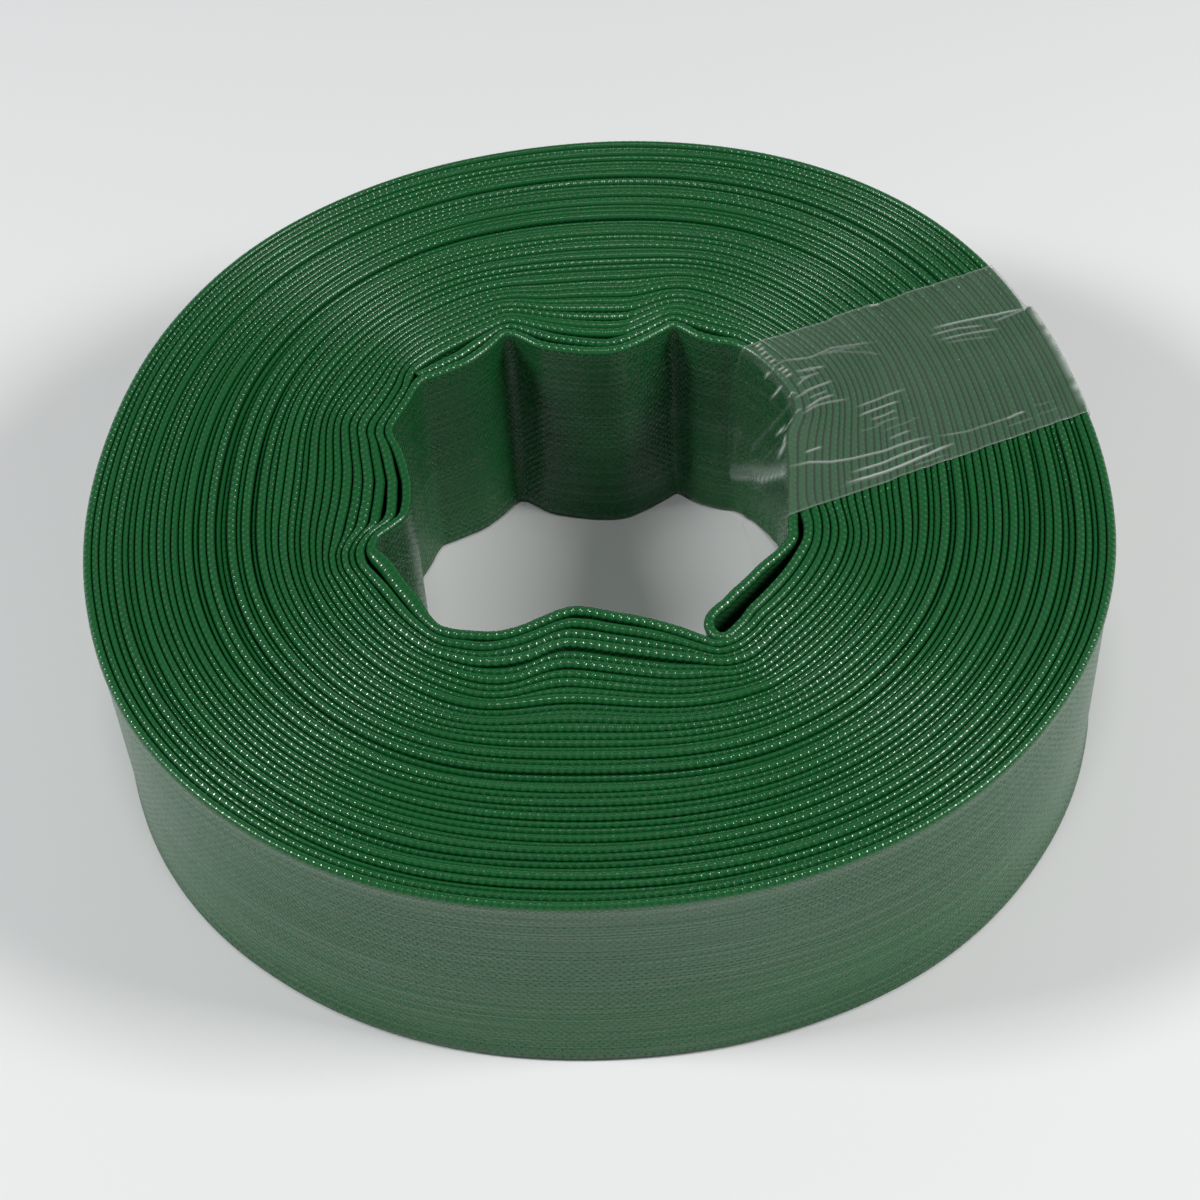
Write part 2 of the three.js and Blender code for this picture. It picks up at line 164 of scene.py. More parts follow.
def spiral():
    """Inner-face radius of the wound turns, one sample every STEP degrees from BASE."""
    q = BASE + np.arange(PER) * STEP
    k1, k2, k3, k5 = (pchip(ANG, k, q) for k in (K1, K2, K3, K5))
    # behind the front peak the first turns are evenly spread
    even = np.clip((q - 595) / 12, 0, 1) * np.clip((655 - q) / 12, 0, 1)
    even = even * even * (3 - 2 * even)
    k2 = k2 + even * (k1 + 0.27 * (k5 - k1) - k2)
    k3 = k3 + even * (k1 + 0.51 * (k5 - k1) - k3)
    k4 = (k3 + k5) / 2
    out = outer_face(q)
    turns = int((LAST - BASE) // 360) + 1          # the last one is not complete
    last_n = np.where(q <= OUTER_END + 360, 41, 40).astype(float)
    rows = [k1, k2, k3, k4, k5]
    p0 = k5 - k4
    m_all = last_n - 5
    p_avg = (out - TURN - 0.05 - k5) / m_all
    s = 2.6
    excess = (p0 - p_avg) * s
    for n in range(6, turns + 2):
        m = n - 5.0
        rows.append(k5 + p_avg * m + excess * ((1 - np.exp(-m / s)) - (1 - np.exp(-m_all / s)) * m / m_all))
    rows = np.array(rows)
    # join each turn to the next
    fade = 70 / STEP
    i = np.arange(PER)
    up = np.clip(1 - (PER - i) / fade, 0, 1) ** 2 * 0.5
    down = np.clip(1 - i / fade, 0, 1) ** 2 * 0.5
    for n in range(3, len(rows) - 1):
        end = rows[n][-1] + (rows[n][-1] - rows[n][-2])
        gap = end - rows[n + 1][0]
        rows[n] -= gap * up
        rows[n + 1] += gap * down
    r = rows.reshape(-1)
    count = int(round((LAST - BASE) / STEP)) + 1
    r = r[:count + PER].copy()
    # bumps of the eye and of the rim die away from turn to turn
    turn_no = np.arange(len(r)) / PER
    for sigma, first_turn, last_turn in ((2.5, 5.3, 40.0), (5.0, 8.0, 37.0), (9.0, 13.0, 34.0)):
        weight = np.clip((turn_no - first_turn) / 2.0, 0, 1) * np.clip((last_turn - turn_no) / 2.0, 0, 1)
        r = r + weight * (blur(r, sigma / STEP) - r)
    r = r[:count]
    # small play between turns: no two lie quite alike
    amp = np.clip((np.arange(count) - 2 * PER) / (2.0 * PER), 0, 1)
    r += amp * 0.16 * smooth_noise(rng, count, STEP, 55.0)
    r += amp * 0.05 * smooth_noise(rng, count, STEP, 9.0)
    return BASE + np.arange(count) * STEP, r


PHI, R_IN = spiral()
SLOPE = np.gradient(R_IN, np.radians(STEP))
COS = 1 / np.hypot(1, SLOPE / R_IN)             # the tilt of the hose against a circle
RC = R_IN + TURN / 2 / COS                      # centre line

TQ = np.arange(303.0, 497.51, STEP)             # the folded start
T_IN = pchip(START_ANG, KT, TQ)
T_COS = 1 / np.hypot(1, np.gradient(T_IN, np.radians(STEP)) / T_IN)
TC = T_IN + (TURN / 2 + 0.1) / T_COS


# keep neighbouring turns a thickness apart, working outwards: each turn is pushed clear of the
# line that a turn's thickness makes when it rolls round the turn inside it
LEAST = 2.0
REACH = 6


def clear_of(i, rr, least=LEAST):
    """Least radius at the samples i that stays clear of the turn inside."""
    need = np.zeros(len(i))
    for k in range(-REACH, REACH + 1):
        j = np.clip(i - PER + k, 0, len(rr) - 1)
        rho = rr[j]
        side = rho * math.sin(math.radians(k * STEP))
        room = least ** 2 - side ** 2
        reach = rho * math.cos(math.radians(k * STEP)) + np.sqrt(np.maximum(room, 0))
        need = np.maximum(need, np.where(room > 0, reach, 0))
    return need


TAIL_END = int(round((497.0 - BASE) / STEP))
TAIL_START = int(round((303.5 - BASE) / STEP))
tail_full = np.full(PER, np.nan)
tail_full[TAIL_START:TAIL_END + 1] = np.interp(BASE + np.arange(TAIL_START, TAIL_END + 1) * STEP, TQ, TC)
# the folded start lies clear of the innermost turn
for k in range(TAIL_START, TAIL_END + 1):
    low = RC[k] + LEAST / COS[k]
    if tail_full[k] < low:
        tail_full[k] = low
TC = np.interp(TQ, BASE + np.arange(TAIL_START, TAIL_END + 1) * STEP, tail_full[TAIL_START:TAIL_END + 1])
for turn in range(1, len(RC) // PER + 1):
    i = np.arange(turn * PER, min((turn + 1) * PER, len(RC)))
    if len(i) == 0:
        break
    need = clear_of(i, RC)
    if turn == 1:
        t = tail_full[i - PER]
        need = np.maximum(need, np.where(np.isnan(t), 0, np.nan_to_num(t) + LEAST / COS[i]))
    got = np.maximum(RC[i], need)
    if turn > 3:                       # the hose bridges a sharp hollow instead of creasing into it
        wide = min(0.8 + 0.25 * (turn - 3), 3.0)
        pad = np.concatenate([RC[i[0] - 20:i[0]], got, RC[i[-1] + 1:i[-1] + 21] if i[-1] + 1 < len(RC) else np.repeat(got[-1], 20)])
        soft = blur(pad, wide / STEP)[20:20 + len(got)]
        got = np.maximum(soft, need)
    RC[i] = got
SLOPE = np.gradient(RC, np.radians(STEP))
COS = 1 / np.hypot(1, SLOPE / RC)
COS = blur(COS, 1.0 / STEP)
ARC = np.cumsum(RC / COS) * math.radians(STEP)
SINK = 0.62 + 0.72 * noise_at(rng, ARC, 520.0) + 0.22 * noise_at(rng, ARC, 130.0) + 0.05 * noise_at(rng, ARC, 14.0)
SINK = np.clip(SINK, 0.0, 2.0) * (0.45 + 0.55 * np.clip((np.arange(len(ARC)) / PER - 1.5) / 4.0, 0, 1))
# the last turns stand nearly level
SINK *= 1 - 0.8 * np.clip((np.arange(len(ARC)) / PER - 38.6) / 1.0, 0, 1)


def tail_at(a):
    return np.interp(a, TQ, TC, left=np.nan, right=np.nan)


def xy(a, r):
    a = np.radians(a)
    return np.stack([r * np.cos(a), r * np.sin(a)], -1)


def catmull(points, per):
    p = np.asarray(points, float)
    p = np.vstack([2 * p[0] - p[1], p, 2 * p[-1] - p[-2]])
    out = []
    for i in range(1, len(p) - 2):
        t = np.linspace(0, 1, per, endpoint=False)[:, None]
        a, b, c, d = p[i - 1], p[i], p[i + 1], p[i + 2]
        out.append(0.5 * (2 * b + (c - a) * t + (2 * a - 5 * b + 4 * c - d) * t ** 2 + (3 * b - a - 3 * c + d) * t ** 3))
    return np.vstack(out + [p[-2:-1]])


i0 = int(round((309 - BASE) / STEP))
keep_t = TQ >= 304.5
tail_xy = xy(TQ[keep_t][::-1], TC[keep_t][::-1])
fold = xy(*np.array(FOLD[::-1]).T)
fold_xy = catmull(np.vstack([tail_xy[-6:-1:2], fold, xy(PHI[i0:i0 + 3], RC[i0:i0 + 3])]), 12)
route = np.vstack([tail_xy[:-6], fold_xy[:-24], xy(PHI[i0:], RC[i0:])])
tags_phi = np.concatenate([TQ[keep_t][::-1][:-6] - 1000, np.full(len(fold_xy) - 24, np.nan), PHI[i0:]])

# resample by length: a whole number of samples to each repeat of the yarn
d = np.hypot(*np.diff(route, axis=0).T)
keep = np.concatenate([[True], d > 1e-6])
route, tags_phi = route[keep], tags_phi[keep]
S = np.concatenate([[0], np.cumsum(np.hypot(*np.diff(route, axis=0).T))])
DS = BEAD / 6
n_st = int(S[-1] / DS)
SS = np.arange(n_st + 1) * DS
fine_xy = np.stack([np.interp(SS, S, route[:, 0]), np.interp(SS, S, route[:, 1])], 1)
fine_xy = blur(fine_xy, 0.9 / DS)
LENGTH = SS[-1]
# where each sample is: phi along the spiral, or the angle on the folded start (less 1000)
near = np.clip(np.searchsorted(S, SS), 0, len(S) - 1)
phi_s = np.interp(SS, S, np.where(np.isnan(tags_phi), -9999, tags_phi))
zone = np.where(SS < S[len(tail_xy) - 6], 0, np.where(phi_s > 295, 2, 1))
zone[(zone == 2) & (np.isnan(tags_phi[near]))] = 1

# half thickness to each side at the folded edges: as fat as the neighbours allow
FAT, WALL, THIN = 1.62, 0.985, 0.70
GROOVE = 0.11                                    # half the gap between two folded edges
i_of = np.clip(((phi_s - BASE) / STEP), 0, len(RC) - 1)


def at(arr, idx):
    idx = np.clip(idx, 0, len(arr) - 1)
    lo = np.floor(idx).astype(int)
    hi = np.minimum(lo + 1, len(arr) - 1)
    return arr[lo] * (1 - (idx - lo)) + arr[hi] * (idx - lo)


sk = at(SINK, i_of)
sk_out = np.where(i_of + PER < len(RC), at(SINK, i_of + PER), sk)
sk_in = np.where(i_of - PER >= 0, at(SINK, i_of - PER), sk)
rc, co = at(RC, i_of), at(COS, i_of)
out_next = np.where(i_of + PER < len(RC), at(RC, i_of + PER), np.inf)
in_next = np.where(i_of - PER >= 0, at(RC, i_of - PER), -np.inf)
ta = tail_at(phi_s)
tb = tail_at(phi_s - 360)
out_next = np.where(~np.isnan(ta), np.minimum(out_next, np.nan_to_num(ta, nan=1e9)), out_next)
in_next = np.where(~np.isnan(tb), np.maximum(in_next, np.nan_to_num(tb, nan=-1e9)), in_next)
room_plus = (out_next - rc) * co / 2 - GROOVE       # +n is outwards on the spiral
room_minus = (rc - in_next) * co / 2 - GROOVE
a_t = phi_s + 1000
i_t = np.clip((a_t - BASE) / STEP, 0, PER * 2)
tc = np.interp(a_t, TQ, TC)
tco = at(COS, i_t)
YIELD = 0.34                                     # a turn that stands higher spreads over its neighbours
room_plus += YIELD * np.clip(sk_out - sk, -1, 1)
room_minus += YIELD * np.clip(sk_in - sk, -1, 1)
room_plus = np.where(zone == 0, (tc - at(RC, i_t)) * tco / 2 - 0.02, room_plus)   # +n faces the eye here
room_minus = np.where(zone == 0, (at(RC, i_t + PER) - tc) * tco / 2 - 0.02, room_minus)
room_plus = np.where(zone == 1, FAT, room_plus)
room_minus = np.where(zone == 1, FAT, room_minus)
# the innermost turn is puffed up where it stands free
puff = np.where(zone == 2, np.clip((phi_s - 555) / 4, 0, 1) * np.clip((596 - phi_s) / 10, 0, 1), 0)
B_PLUS = np.clip(room_plus, THIN, FAT)
B_PLUS = B_PLUS + puff * (np.clip(2 * room_plus + 2 * GROOVE - FAT, THIN, 3.3) - B_PLUS)
B_PLUS = blur(B_PLUS, 1.5 / DS)
B_MINUS = blur(np.clip(room_minus, THIN, FAT), 1.5 / DS)
A_PLUS, A_MINUS = np.full(n_st + 1, WALL), np.full(n_st + 1, WALL)

tangent = np.gradient(fine_xy, axis=0)
tangent /= np.hypot(*tangent.T)[:, None]
normal = np.stack([tangent[:, 1], -tangent[:, 0]], 1)

# how far the upper edge has sunk below its neighbours, and the lower edge lies off the floor
sink = np.where(zone == 2, sk, 0.25 + 0.15 * noise_at(rng, SS, 200.0))
# under the tape the edges are pressed level
tape_u = np.array([math.cos(math.radians(TAPE_ANGLE)), math.sin(math.radians(TAPE_ANGLE))])
along = fine_xy @ tape_u
across = fine_xy @ np.array([-tape_u[1], tape_u[0]])
pressed = np.where(along > 0, np.clip((37.0 - np.abs(across - TAPE_MID)) / 4.0, 0, 1), 0)
sink = blur(np.clip(sink, 0.0, 2.0), 6 / DS)
sink = sink + pressed * (0.42 + 0.3 * (sink - 0.5) - sink)
TOP = WIDTH - 0.05 - sink
lift = np.clip(0.12 + 0.12 * noise_at(rng, SS, 300.0), 0, 0.5)
# the weave wanders round the tube, and the coat is thicker in places
drift = 0.22 * noise_at(rng, SS, 600.0)
relief_of = np.clip(0.74 + 0.22 * noise_at(rng, SS, 150.0) + 0.16 * noise_at(rng, SS, 900.0), 0.3, 1.3)
# the loose turns round the eye are puffed up and show the yarns most
loose = np.where(zone == 2, np.clip(6.0 - (phi_s - BASE) / 360, 0, 3) / 3, 1.0)
front = np.clip(1 - np.abs((phi_s - 265 + 180) % 360 - 180) / 55, 0, 1) ** 0.5
# the tight outer turns are drawn smoother at the front corners
taut = np.maximum(np.clip(1 - np.abs((phi_s - 236 + 180) % 360 - 180) / 28, 0, 1), np.clip(1 - np.abs((phi_s - 314 + 180) % 360 - 180) / 28, 0, 1)) ** 0.5
relief_of = relief_of * (1 + front * (0.35 + 0.45 * loose)) * (1 - 0.4 * pressed) * (1 - 0.4 * taut * (1 - loose))

# ---- the section of the flattened tube -----------------------------------------------------
# each entry: side (-1, 0, +1), place
top_angles = [-90, -66, -48, -30, -11, 11, 30, 48, 66, 90]


def section(i):
    """Offsets along n and heights for the samples i, as arrays (samples, points), and each
    point's distance round the tube from the upper edge."""
    bp, bm, ap, am = B_PLUS[i], B_MINUS[i], A_PLUS[i], A_MINUS[i]
    zt, zb = TOP[i], lift[i]
    s = SS[i]
    n_off, zz, dist = [], [], []
    hc = 1.25

    def put(n, z, w, nx=None, nz=None, amp=0.0):
        # rows of knobs along the folded edge, each row half a yarn on from the next
        wave = np.cos(2 * math.pi * s / BEAD)
        row = math.cos(math.pi * (w - 0.7) / 1.4)
        relief = amp * relief_of[i] * (0.5 + 0.34 * wave * row + 0.16 * wave)
        if nx is not None:
            n, z = n + nx * relief, z + nz * relief
        n_off.append(n)
        zz.append(z)
        dist.append(w)

    def side_w(deg):
        return 1.95 * deg / 90

    # bottom edge, from its middle to the minus side
    for deg in (0, -45, -90):
        a = math.radians(deg)
        b = bm
        put(b * math.sin(a), zb + hc - hc * math.cos(a), -WIDTH + 1.2 - side_w(deg), math.sin(a), -math.cos(a), 0.05)
    # wall on the minus side, going up
    put(-am, zb + 4.2, -WIDTH + 5.0)
    put(-am, zt - 4.4, -5.0)
    for deg in top_angles:
        a = math.radians(deg)
        b = np.where(deg < 0, bm, bp)
        tall = 1.5 + 0.6 * (b - 1.05)
        put(b * math.sin(a), zt - tall + tall * math.cos(a), side_w(deg), math.sin(a), math.cos(a), 0.035 if abs(deg) > 80 else 0.095 if abs(deg) > 60 else 0.125)
    put(ap, zt - 4.4, 5.0)
    put(ap, zb + 4.2, WIDTH - 5.0)
    for deg in (90, 45):
        a = math.radians(deg)
        put(bp * math.sin(a), zb + hc - hc * math.cos(a), WIDTH - 1.2 - side_w(deg), math.sin(a), -math.cos(a), 0.05)
    return np.stack(n_off, 1), np.stack(zz, 1), np.array(dist)


SHIFT = None


def mesh_from(name, verts, quads, uvs=None, tris=None, uvs2=None):
    me = bpy.data.meshes.new(name)
    me.vertices.add(len(verts))
    me.vertices.foreach_set("co", np.ascontiguousarray(verts, np.float32).reshape(-1))
    faces = [np.asarray(quads, np.int32)]
    loops = faces[0].reshape(-1)
    starts = np.arange(len(faces[0])) * 4
    if tris is not None and len(tris):
        starts = np.concatenate([starts, len(loops) + np.arange(len(tris)) * 3])
        loops = np.concatenate([loops, np.asarray(tris, np.int32).reshape(-1)])
    me.loops.add(len(loops))
    me.loops.foreach_set("vertex_index", loops.astype(np.int32))
    me.polygons.add(len(starts))
    me.polygons.foreach_set("loop_start", starts.astype(np.int32))
    me.update(calc_edges=True)
    if uvs is not None:
        layer = me.uv_layers.new(name="weave")
        layer.data.foreach_set("uv", np.ascontiguousarray(uvs, np.float32).reshape(-1))
    if uvs2 is not None:
        layer = me.uv_layers.new(name="lay")
        layer.data.foreach_set("uv", np.ascontiguousarray(uvs2, np.float32).reshape(-1))
    me.polygons.foreach_set("use_smooth", np.ones(len(me.polygons), bool))
    me.validate()
    ob = bpy.data.objects.new(name, me)
    bpy.context.scene.collection.objects.link(ob)
    return ob


def hose_piece(name, lo, hi, open_start=False, open_end=False):
    """The stretch of hose between samples lo and hi, a closed flattened tube."""
    i = np.arange(lo, hi + 1)
    n, z, w = section(i)
    k = n.shape[1]
    x = fine_xy[i, 0][:, None] + normal[i, 0][:, None] * n
    y = fine_xy[i, 1][:, None] + normal[i, 1][:, None] * n
    v = np.stack([x + SHIFT[0], y + SHIFT[1], z], -1).reshape(-1, 3)
    m = len(i)
    a = (np.arange(m - 1)[:, None] * k + np.arange(k)[None]).reshape(-1)
    b = (np.arange(m - 1)[:, None] * k + (np.arange(k)[None] + 1) % k).reshape(-1)
    quads = np.stack([a, b, b + k, a + k], 1)
    w1 = w.copy()
    w2 = np.append(w[1:], WIDTH + 1.2)
    w1[0] = -WIDTH - 1.2
    u = SS[i]
    uv = np.zeros((m - 1, k, 4, 2))
    uv[:, :, 0, 0] = uv[:, :, 1, 0] = u[:-1, None]
    uv[:, :, 2, 0] = uv[:, :, 3, 0] = u[1:, None]
    uv[:, :, 0, 1] = uv[:, :, 3, 1] = w1[None]
    uv[:, :, 1, 1] = uv[:, :, 2, 1] = w2[None]
    uv2 = np.zeros((m - 1, k, 4, 2))
    uv2[..., 0] = uv[..., 1]
    dr = drift[i]
    uv[:, :, 0, 1] += dr[:-1, None]
    uv[:, :, 1, 1] += dr[:-1, None]
    uv[:, :, 2, 1] += dr[1:, None]
    uv[:, :, 3, 1] += dr[1:, None]
    sn = relief_of[i]
    uv2[:, :, 0, 1] = uv2[:, :, 1, 1] = sn[:-1, None]
    uv2[:, :, 2, 1] = uv2[:, :, 3, 1] = sn[1:, None]
    uv = uv.reshape(-1, 2)
    uv2 = uv2.reshape(-1, 2)
    # the two cut faces: an end of the hose shows both walls with the slit between them
    extra_v, extra_q, tris, extra_uv = [], [], [], []
    base = len(v)
    for end, opened in ((0, open_start), (m - 1, open_end)):
        ring = end * k + np.arange(k)
        flip = end == 0
        if opened:
            depth = 6.0
            sgn = 1.0 if end == 0 else -1.0
            j = i[end]
            c = fine_xy[j] + tangent[j] * sgn * depth + np.array(SHIFT[:2])
            inner, deep = [], []
            for q in range(k):
                p = v[ring[q]]
                cx = fine_xy[j] + np.array(SHIFT[:2])
                off = p[:2] - cx
                zc = min(max(p[2], lift[j] + 1.35), TOP[j] - 1.35)
                inner.append([cx[0] + off[0] * 0.16, cx[1] + off[1] * 0.16, zc])
                deep.append([c[0] + off[0] * 0.02, c[1] + off[1] * 0.02, zc])
            o1 = base + len(extra_v)
            extra_v += inner + deep
            for q in range(k):
                q2 = (q + 1) % k
                f1 = [ring[q], ring[q2], o1 + q2, o1 + q]
                f2 = [o1 + q, o1 + q2, o1 + k + q2, o1 + k + q]
                extra_q += [f1[::-1], f2[::-1]] if not flip else [f1, f2]
            # close the far end of the slit
            for q in range(1, k - 1):
                t = [o1 + k, o1 + k + q, o1 + k + q + 1]
                tris.append(t if flip else t[::-1])
        else:
            for q in range(1, k - 1):
                t = [ring[0], ring[q], ring[q + 1]]
                tris.append(t if flip else t[::-1])
    if extra_v:
        v = np.vstack([v, np.array(extra_v)])
    allq = quads[:, ::-1]
    uv = uv.reshape(-1, 4, 2)[:, ::-1].reshape(-1, 2)
    uv2 = uv2.reshape(-1, 4, 2)[:, ::-1].reshape(-1, 2)
    if extra_q:
        eq = np.array(extra_q)
        allq = np.vstack([allq, eq])
        uv = np.vstack([uv, np.tile([[u[0], 20.0]], (len(eq) * 4, 1))])
        uv2 = np.vstack([uv2, np.tile([[20.0, 0.0]], (len(eq) * 4, 1))])
    if tris:
        uv = np.vstack([uv, np.tile([[u[0], 20.0]], (len(tris) * 3, 1))])
        uv2 = np.vstack([uv2, np.tile([[20.0, 0.0]], (len(tris) * 3, 1))])
    ob = mesh_from(name, v * MM, allq, uv, tris, uv2)
    return ob


# the shift that puts the roll's box on the origin, as in the CAD model
i_last = np.arange(max(0, n_st - int(2 * math.pi * 158 / DS)), n_st + 1)
edge = fine_xy[i_last] + normal[i_last] * B_PLUS[i_last][:, None]
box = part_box("hose_outer_turn")
mid_cad = [(box[0][a] + box[1][a]) / 2 / MM for a in (0, 1)]
own = [(edge[:, a].min() + edge[:, a].max()) / 2 for a in (0, 1)]
SHIFT = np.array([mid_cad[0] - own[0], mid_cad[1] - own[1], 0.0])

# cut the hose into stretches of two turns, with the seams under the tape
seams = [0]
first_turn = 296 + 84 + 360 * 1
marks = [a for a in np.arange(380.0 + 360, LAST - 200, 720)]
for a in marks:
    seams.append(int(np.argmin(np.abs(np.where(zone == 2, phi_s, -1e9) - a))))
seams.append(n_st)
hose = []
for j in range(len(seams) - 1):
    ob = hose_piece("hose_turns_%02d" % (j + 1), seams[j], seams[j + 1], j == 0, j == len(seams) - 2)
    hose.append(ob)
print("hose length %.3f m, %d pieces, %d samples, shift %s" % (LENGTH * MM, len(hose), n_st, SHIFT))

# ---- the camera ------------------------------------------------------------------------------
UNIT = 160.5
ELEV, DIST, ROLL = math.radians(50.56802), 5.639487, -0.0606138
TX, TY, LENS = -0.007708, 0.130079, 79.5
AXIS = Vector((0.73156, -1.59331, 0.0)) * MM     # the coil axis in the part's frame
back = Vector((0, -math.cos(ELEV), math.sin(ELEV)))
right = Vector((1, 0, 0))
up = Vector((0, math.sin(ELEV), math.cos(ELEV)))
cam_x = math.cos(ROLL) * right + math.sin(ROLL) * up
cam_y = -math.sin(ROLL) * right + math.cos(ROLL) * up
cam_data = bpy.data.cameras.new("camera")
cam_data.sensor_width = 36.0
cam_data.lens = LENS
cam_data.clip_start, cam_data.clip_end = 0.02, 50
camera = bpy.data.objects.new("camera", cam_data)
bpy.context.scene.collection.objects.link(camera)
place = (Vector((TX, TY, 0)) + back * DIST) * UNIT * MM + AXIS
turn = Matrix((cam_x, cam_y, back)).transposed().to_4x4()
camera.matrix_world = Matrix.Translation(place) @ turn
bpy.context.scene.camera = camera

# ---- the studio --------------------------------------------------------------------------------
scene = bpy.context.scene
scene.view_settings.view_transform = "Standard"
scene.view_settings.look = "None"
world = bpy.data.worlds.new("studio")
scene.world = world
world.use_nodes = True
wt = world.node_tree
for n in list(wt.nodes):
    wt.nodes.remove(n)
w_out = wt.nodes.new("ShaderNodeOutputWorld")
w_bg = wt.nodes.new("ShaderNodeBackground")
w_co = wt.nodes.new("ShaderNodeTexCoord")
w_sep = wt.nodes.new("ShaderNodeSeparateXYZ")
w_ramp = wt.nodes.new("ShaderNodeValToRGB")
wt.links.new(w_co.outputs["Generated"], w_sep.inputs[0])
wt.links.new(w_sep.outputs["Z"], w_ramp.inputs[0])
wt.links.new(w_ramp.outputs[0], w_bg.inputs[0])
wt.links.new(w_bg.outputs[0], w_out.inputs[0])
el = w_ramp.color_ramp.elements
el[0].position, el[0].color = 0.0, (0.90, 0.93, 0.95, 1)
el[1].position, el[1].color = 1.0, (0.10, 0.105, 0.11, 1)
e = el.new(0.12)
e.color = (0.75, 0.78, 0.80, 1)
e = el.new(0.38)
e.color = (0.13, 0.135, 0.14, 1)
w_bg.inputs["Strength"].default_value = 1.0


def area_light(name, where, look_at, size, power, colour=(1, 1, 1), size_y=None):
    d = bpy.data.lights.new(name, "AREA")
    d.shape = "RECTANGLE"
    d.size = size
    d.size_y = size_y or size
    d.energy = power
    d.color = colour
    o = bpy.data.objects.new(name, d)
    scene.collection.objects.link(o)
    o.location = where
    o.rotation_mode = "QUATERNION"
    o.rotation_quaternion = (Vector(where) - Vector(look_at)).to_track_quat("Z", "Y")
    return o


def from_sky(azimuth, elevation, distance):
    a, e = math.radians(azimuth), math.radians(elevation)
    return (distance * math.cos(e) * math.cos(a), distance * math.cos(e) * math.sin(a), distance * math.sin(e))


area_light("right_softbox", from_sky(-14, 43, 1.7), (0, 0, 0.04), 0.46, 17.4, (1.0, 0.995, 0.985))
area_light("left_softbox", from_sky(187, 43, 1.7), (0, 0, 0.04), 0.36, 15.0, (0.985, 0.995, 1.0))
area_light("overhead_softbox", from_sky(268, 78, 1.7), (0, 0, 0.04), 0.24, 3.6)


def new_material(name):
    m = bpy.data.materials.new(name)
    m.use_nodes = True
    t = m.node_tree
    for n in list(t.nodes):
        t.nodes.remove(n)
    out = t.nodes.new("ShaderNodeOutputMaterial")
    bsdf = t.nodes.new("ShaderNodeBsdfPrincipled")
    t.links.new(bsdf.outputs[0], out.inputs["Surface"])
    return m, t, bsdf


class Nodes:
    """Small helper for writing node trees as expressions."""

    def __init__(self, tree):
        self.t = tree

    def _in(self, socket, value):
        if isinstance(value, bpy.types.NodeSocket):
            self.t.links.new(value, socket)
        else:
            socket.default_value = value

    def math(self, op, a, b=None, c=None, clamp=False):
        n = self.t.nodes.new("ShaderNodeMath")
        n.operation = op
        n.use_clamp = clamp
        for k, v in enumerate((a, b, c)):
            if v is not None:
                self._in(n.inputs[k], v)
        return n.outputs[0]

    def smooth(self, v, lo, hi, a=0.0, b=1.0):
        n = self.t.nodes.new("ShaderNodeMapRange")
        n.interpolation_type = "SMOOTHSTEP"
        self._in(n.inputs["Value"], v)
        n.inputs["From Min"].default_value = lo
        n.inputs["From Max"].default_value = hi
        n.inputs["To Min"].default_value = a
        n.inputs["To Max"].default_value = b
        return n.outputs[0]

    def combine(self, x, y, z=0.0):
        n = self.t.nodes.new("ShaderNodeCombineXYZ")
        for k, v in enumerate((x, y, z)):
            self._in(n.inputs[k], v)
        return n.outputs[0]

    def split(self, v):
        n = self.t.nodes.new("ShaderNodeSeparateXYZ")
        self.t.links.new(v, n.inputs[0])
        return n.outputs

    def uv(self, name):
        n = self.t.nodes.new("ShaderNodeUVMap")
        n.uv_map = name
        return n.outputs[0]

    def position(self):
        n = self.t.nodes.new("ShaderNodeNewGeometry")
        return n.outputs["Position"]

    def attribute(self, name):
        n = self.t.nodes.new("ShaderNodeAttribute")
        n.attribute_name = name
        return n.outputs["Fac"]

    def noise(self, vec, scale, detail=2.0, rough=0.5, dims="3D"):
        n = self.t.nodes.new("ShaderNodeTexNoise")
        n.noise_dimensions = dims
        self._in(n.inputs["Vector"], vec)
        n.inputs["Scale"].default_value = scale
        n.inputs["Detail"].default_value = detail
        n.inputs["Roughness"].default_value = rough
        return n.outputs[0]

    def mix(self, fac, a, b):
        n = self.t.nodes.new("ShaderNodeMix")
        n.data_type = "RGBA"
        self._in(n.inputs["Factor"], fac)
        for k, v in (("A", a), ("B", b)):
            s = [i for i in n.inputs if i.name == k and i.type == "RGBA"][0]
            self._in(s, v if isinstance(v, bpy.types.NodeSocket) else (*v, 1))
        return [o for o in n.outputs if o.type == "RGBA"][0]

    def bump(self, height, strength, distance):
        n = self.t.nodes.new("ShaderNodeBump")
        n.inputs["Strength"].default_value = strength
        n.inputs["Distance"].default_value = distance
        self._in(n.inputs["Height"], height)
        return n.outputs[0]


# ---- floor ---------------------------------------------------------------------------------------
def plane(name, z, half=6.0):
    me = bpy.data.meshes.new(name)
    me.from_pydata([(-half, -half, z), (half, -half, z), (half, half, z), (-half, half, z)], [], [(0, 1, 2, 3)])
    ob = bpy.data.objects.new(name, me)
    scene.collection.objects.link(ob)
    return ob


# one plain pale floor, the same all over
floor = plane("floor", -0.0004)
m, t, b = new_material("floor_paper")
b.inputs["Base Color"].default_value = (0.80, 0.80, 0.80, 1)
b.inputs["Roughness"].default_value = 0.9
b.inputs["Specular IOR Level"].default_value = 0.0
floor.data.materials.append(m)

# ---- green vinyl, coated over a woven jacket -----------------------------------------------------
vinyl, t, b = new_material("hose_vinyl")
n = Nodes(t)
s_, w_, _ = n.split(n.uv("weave"))
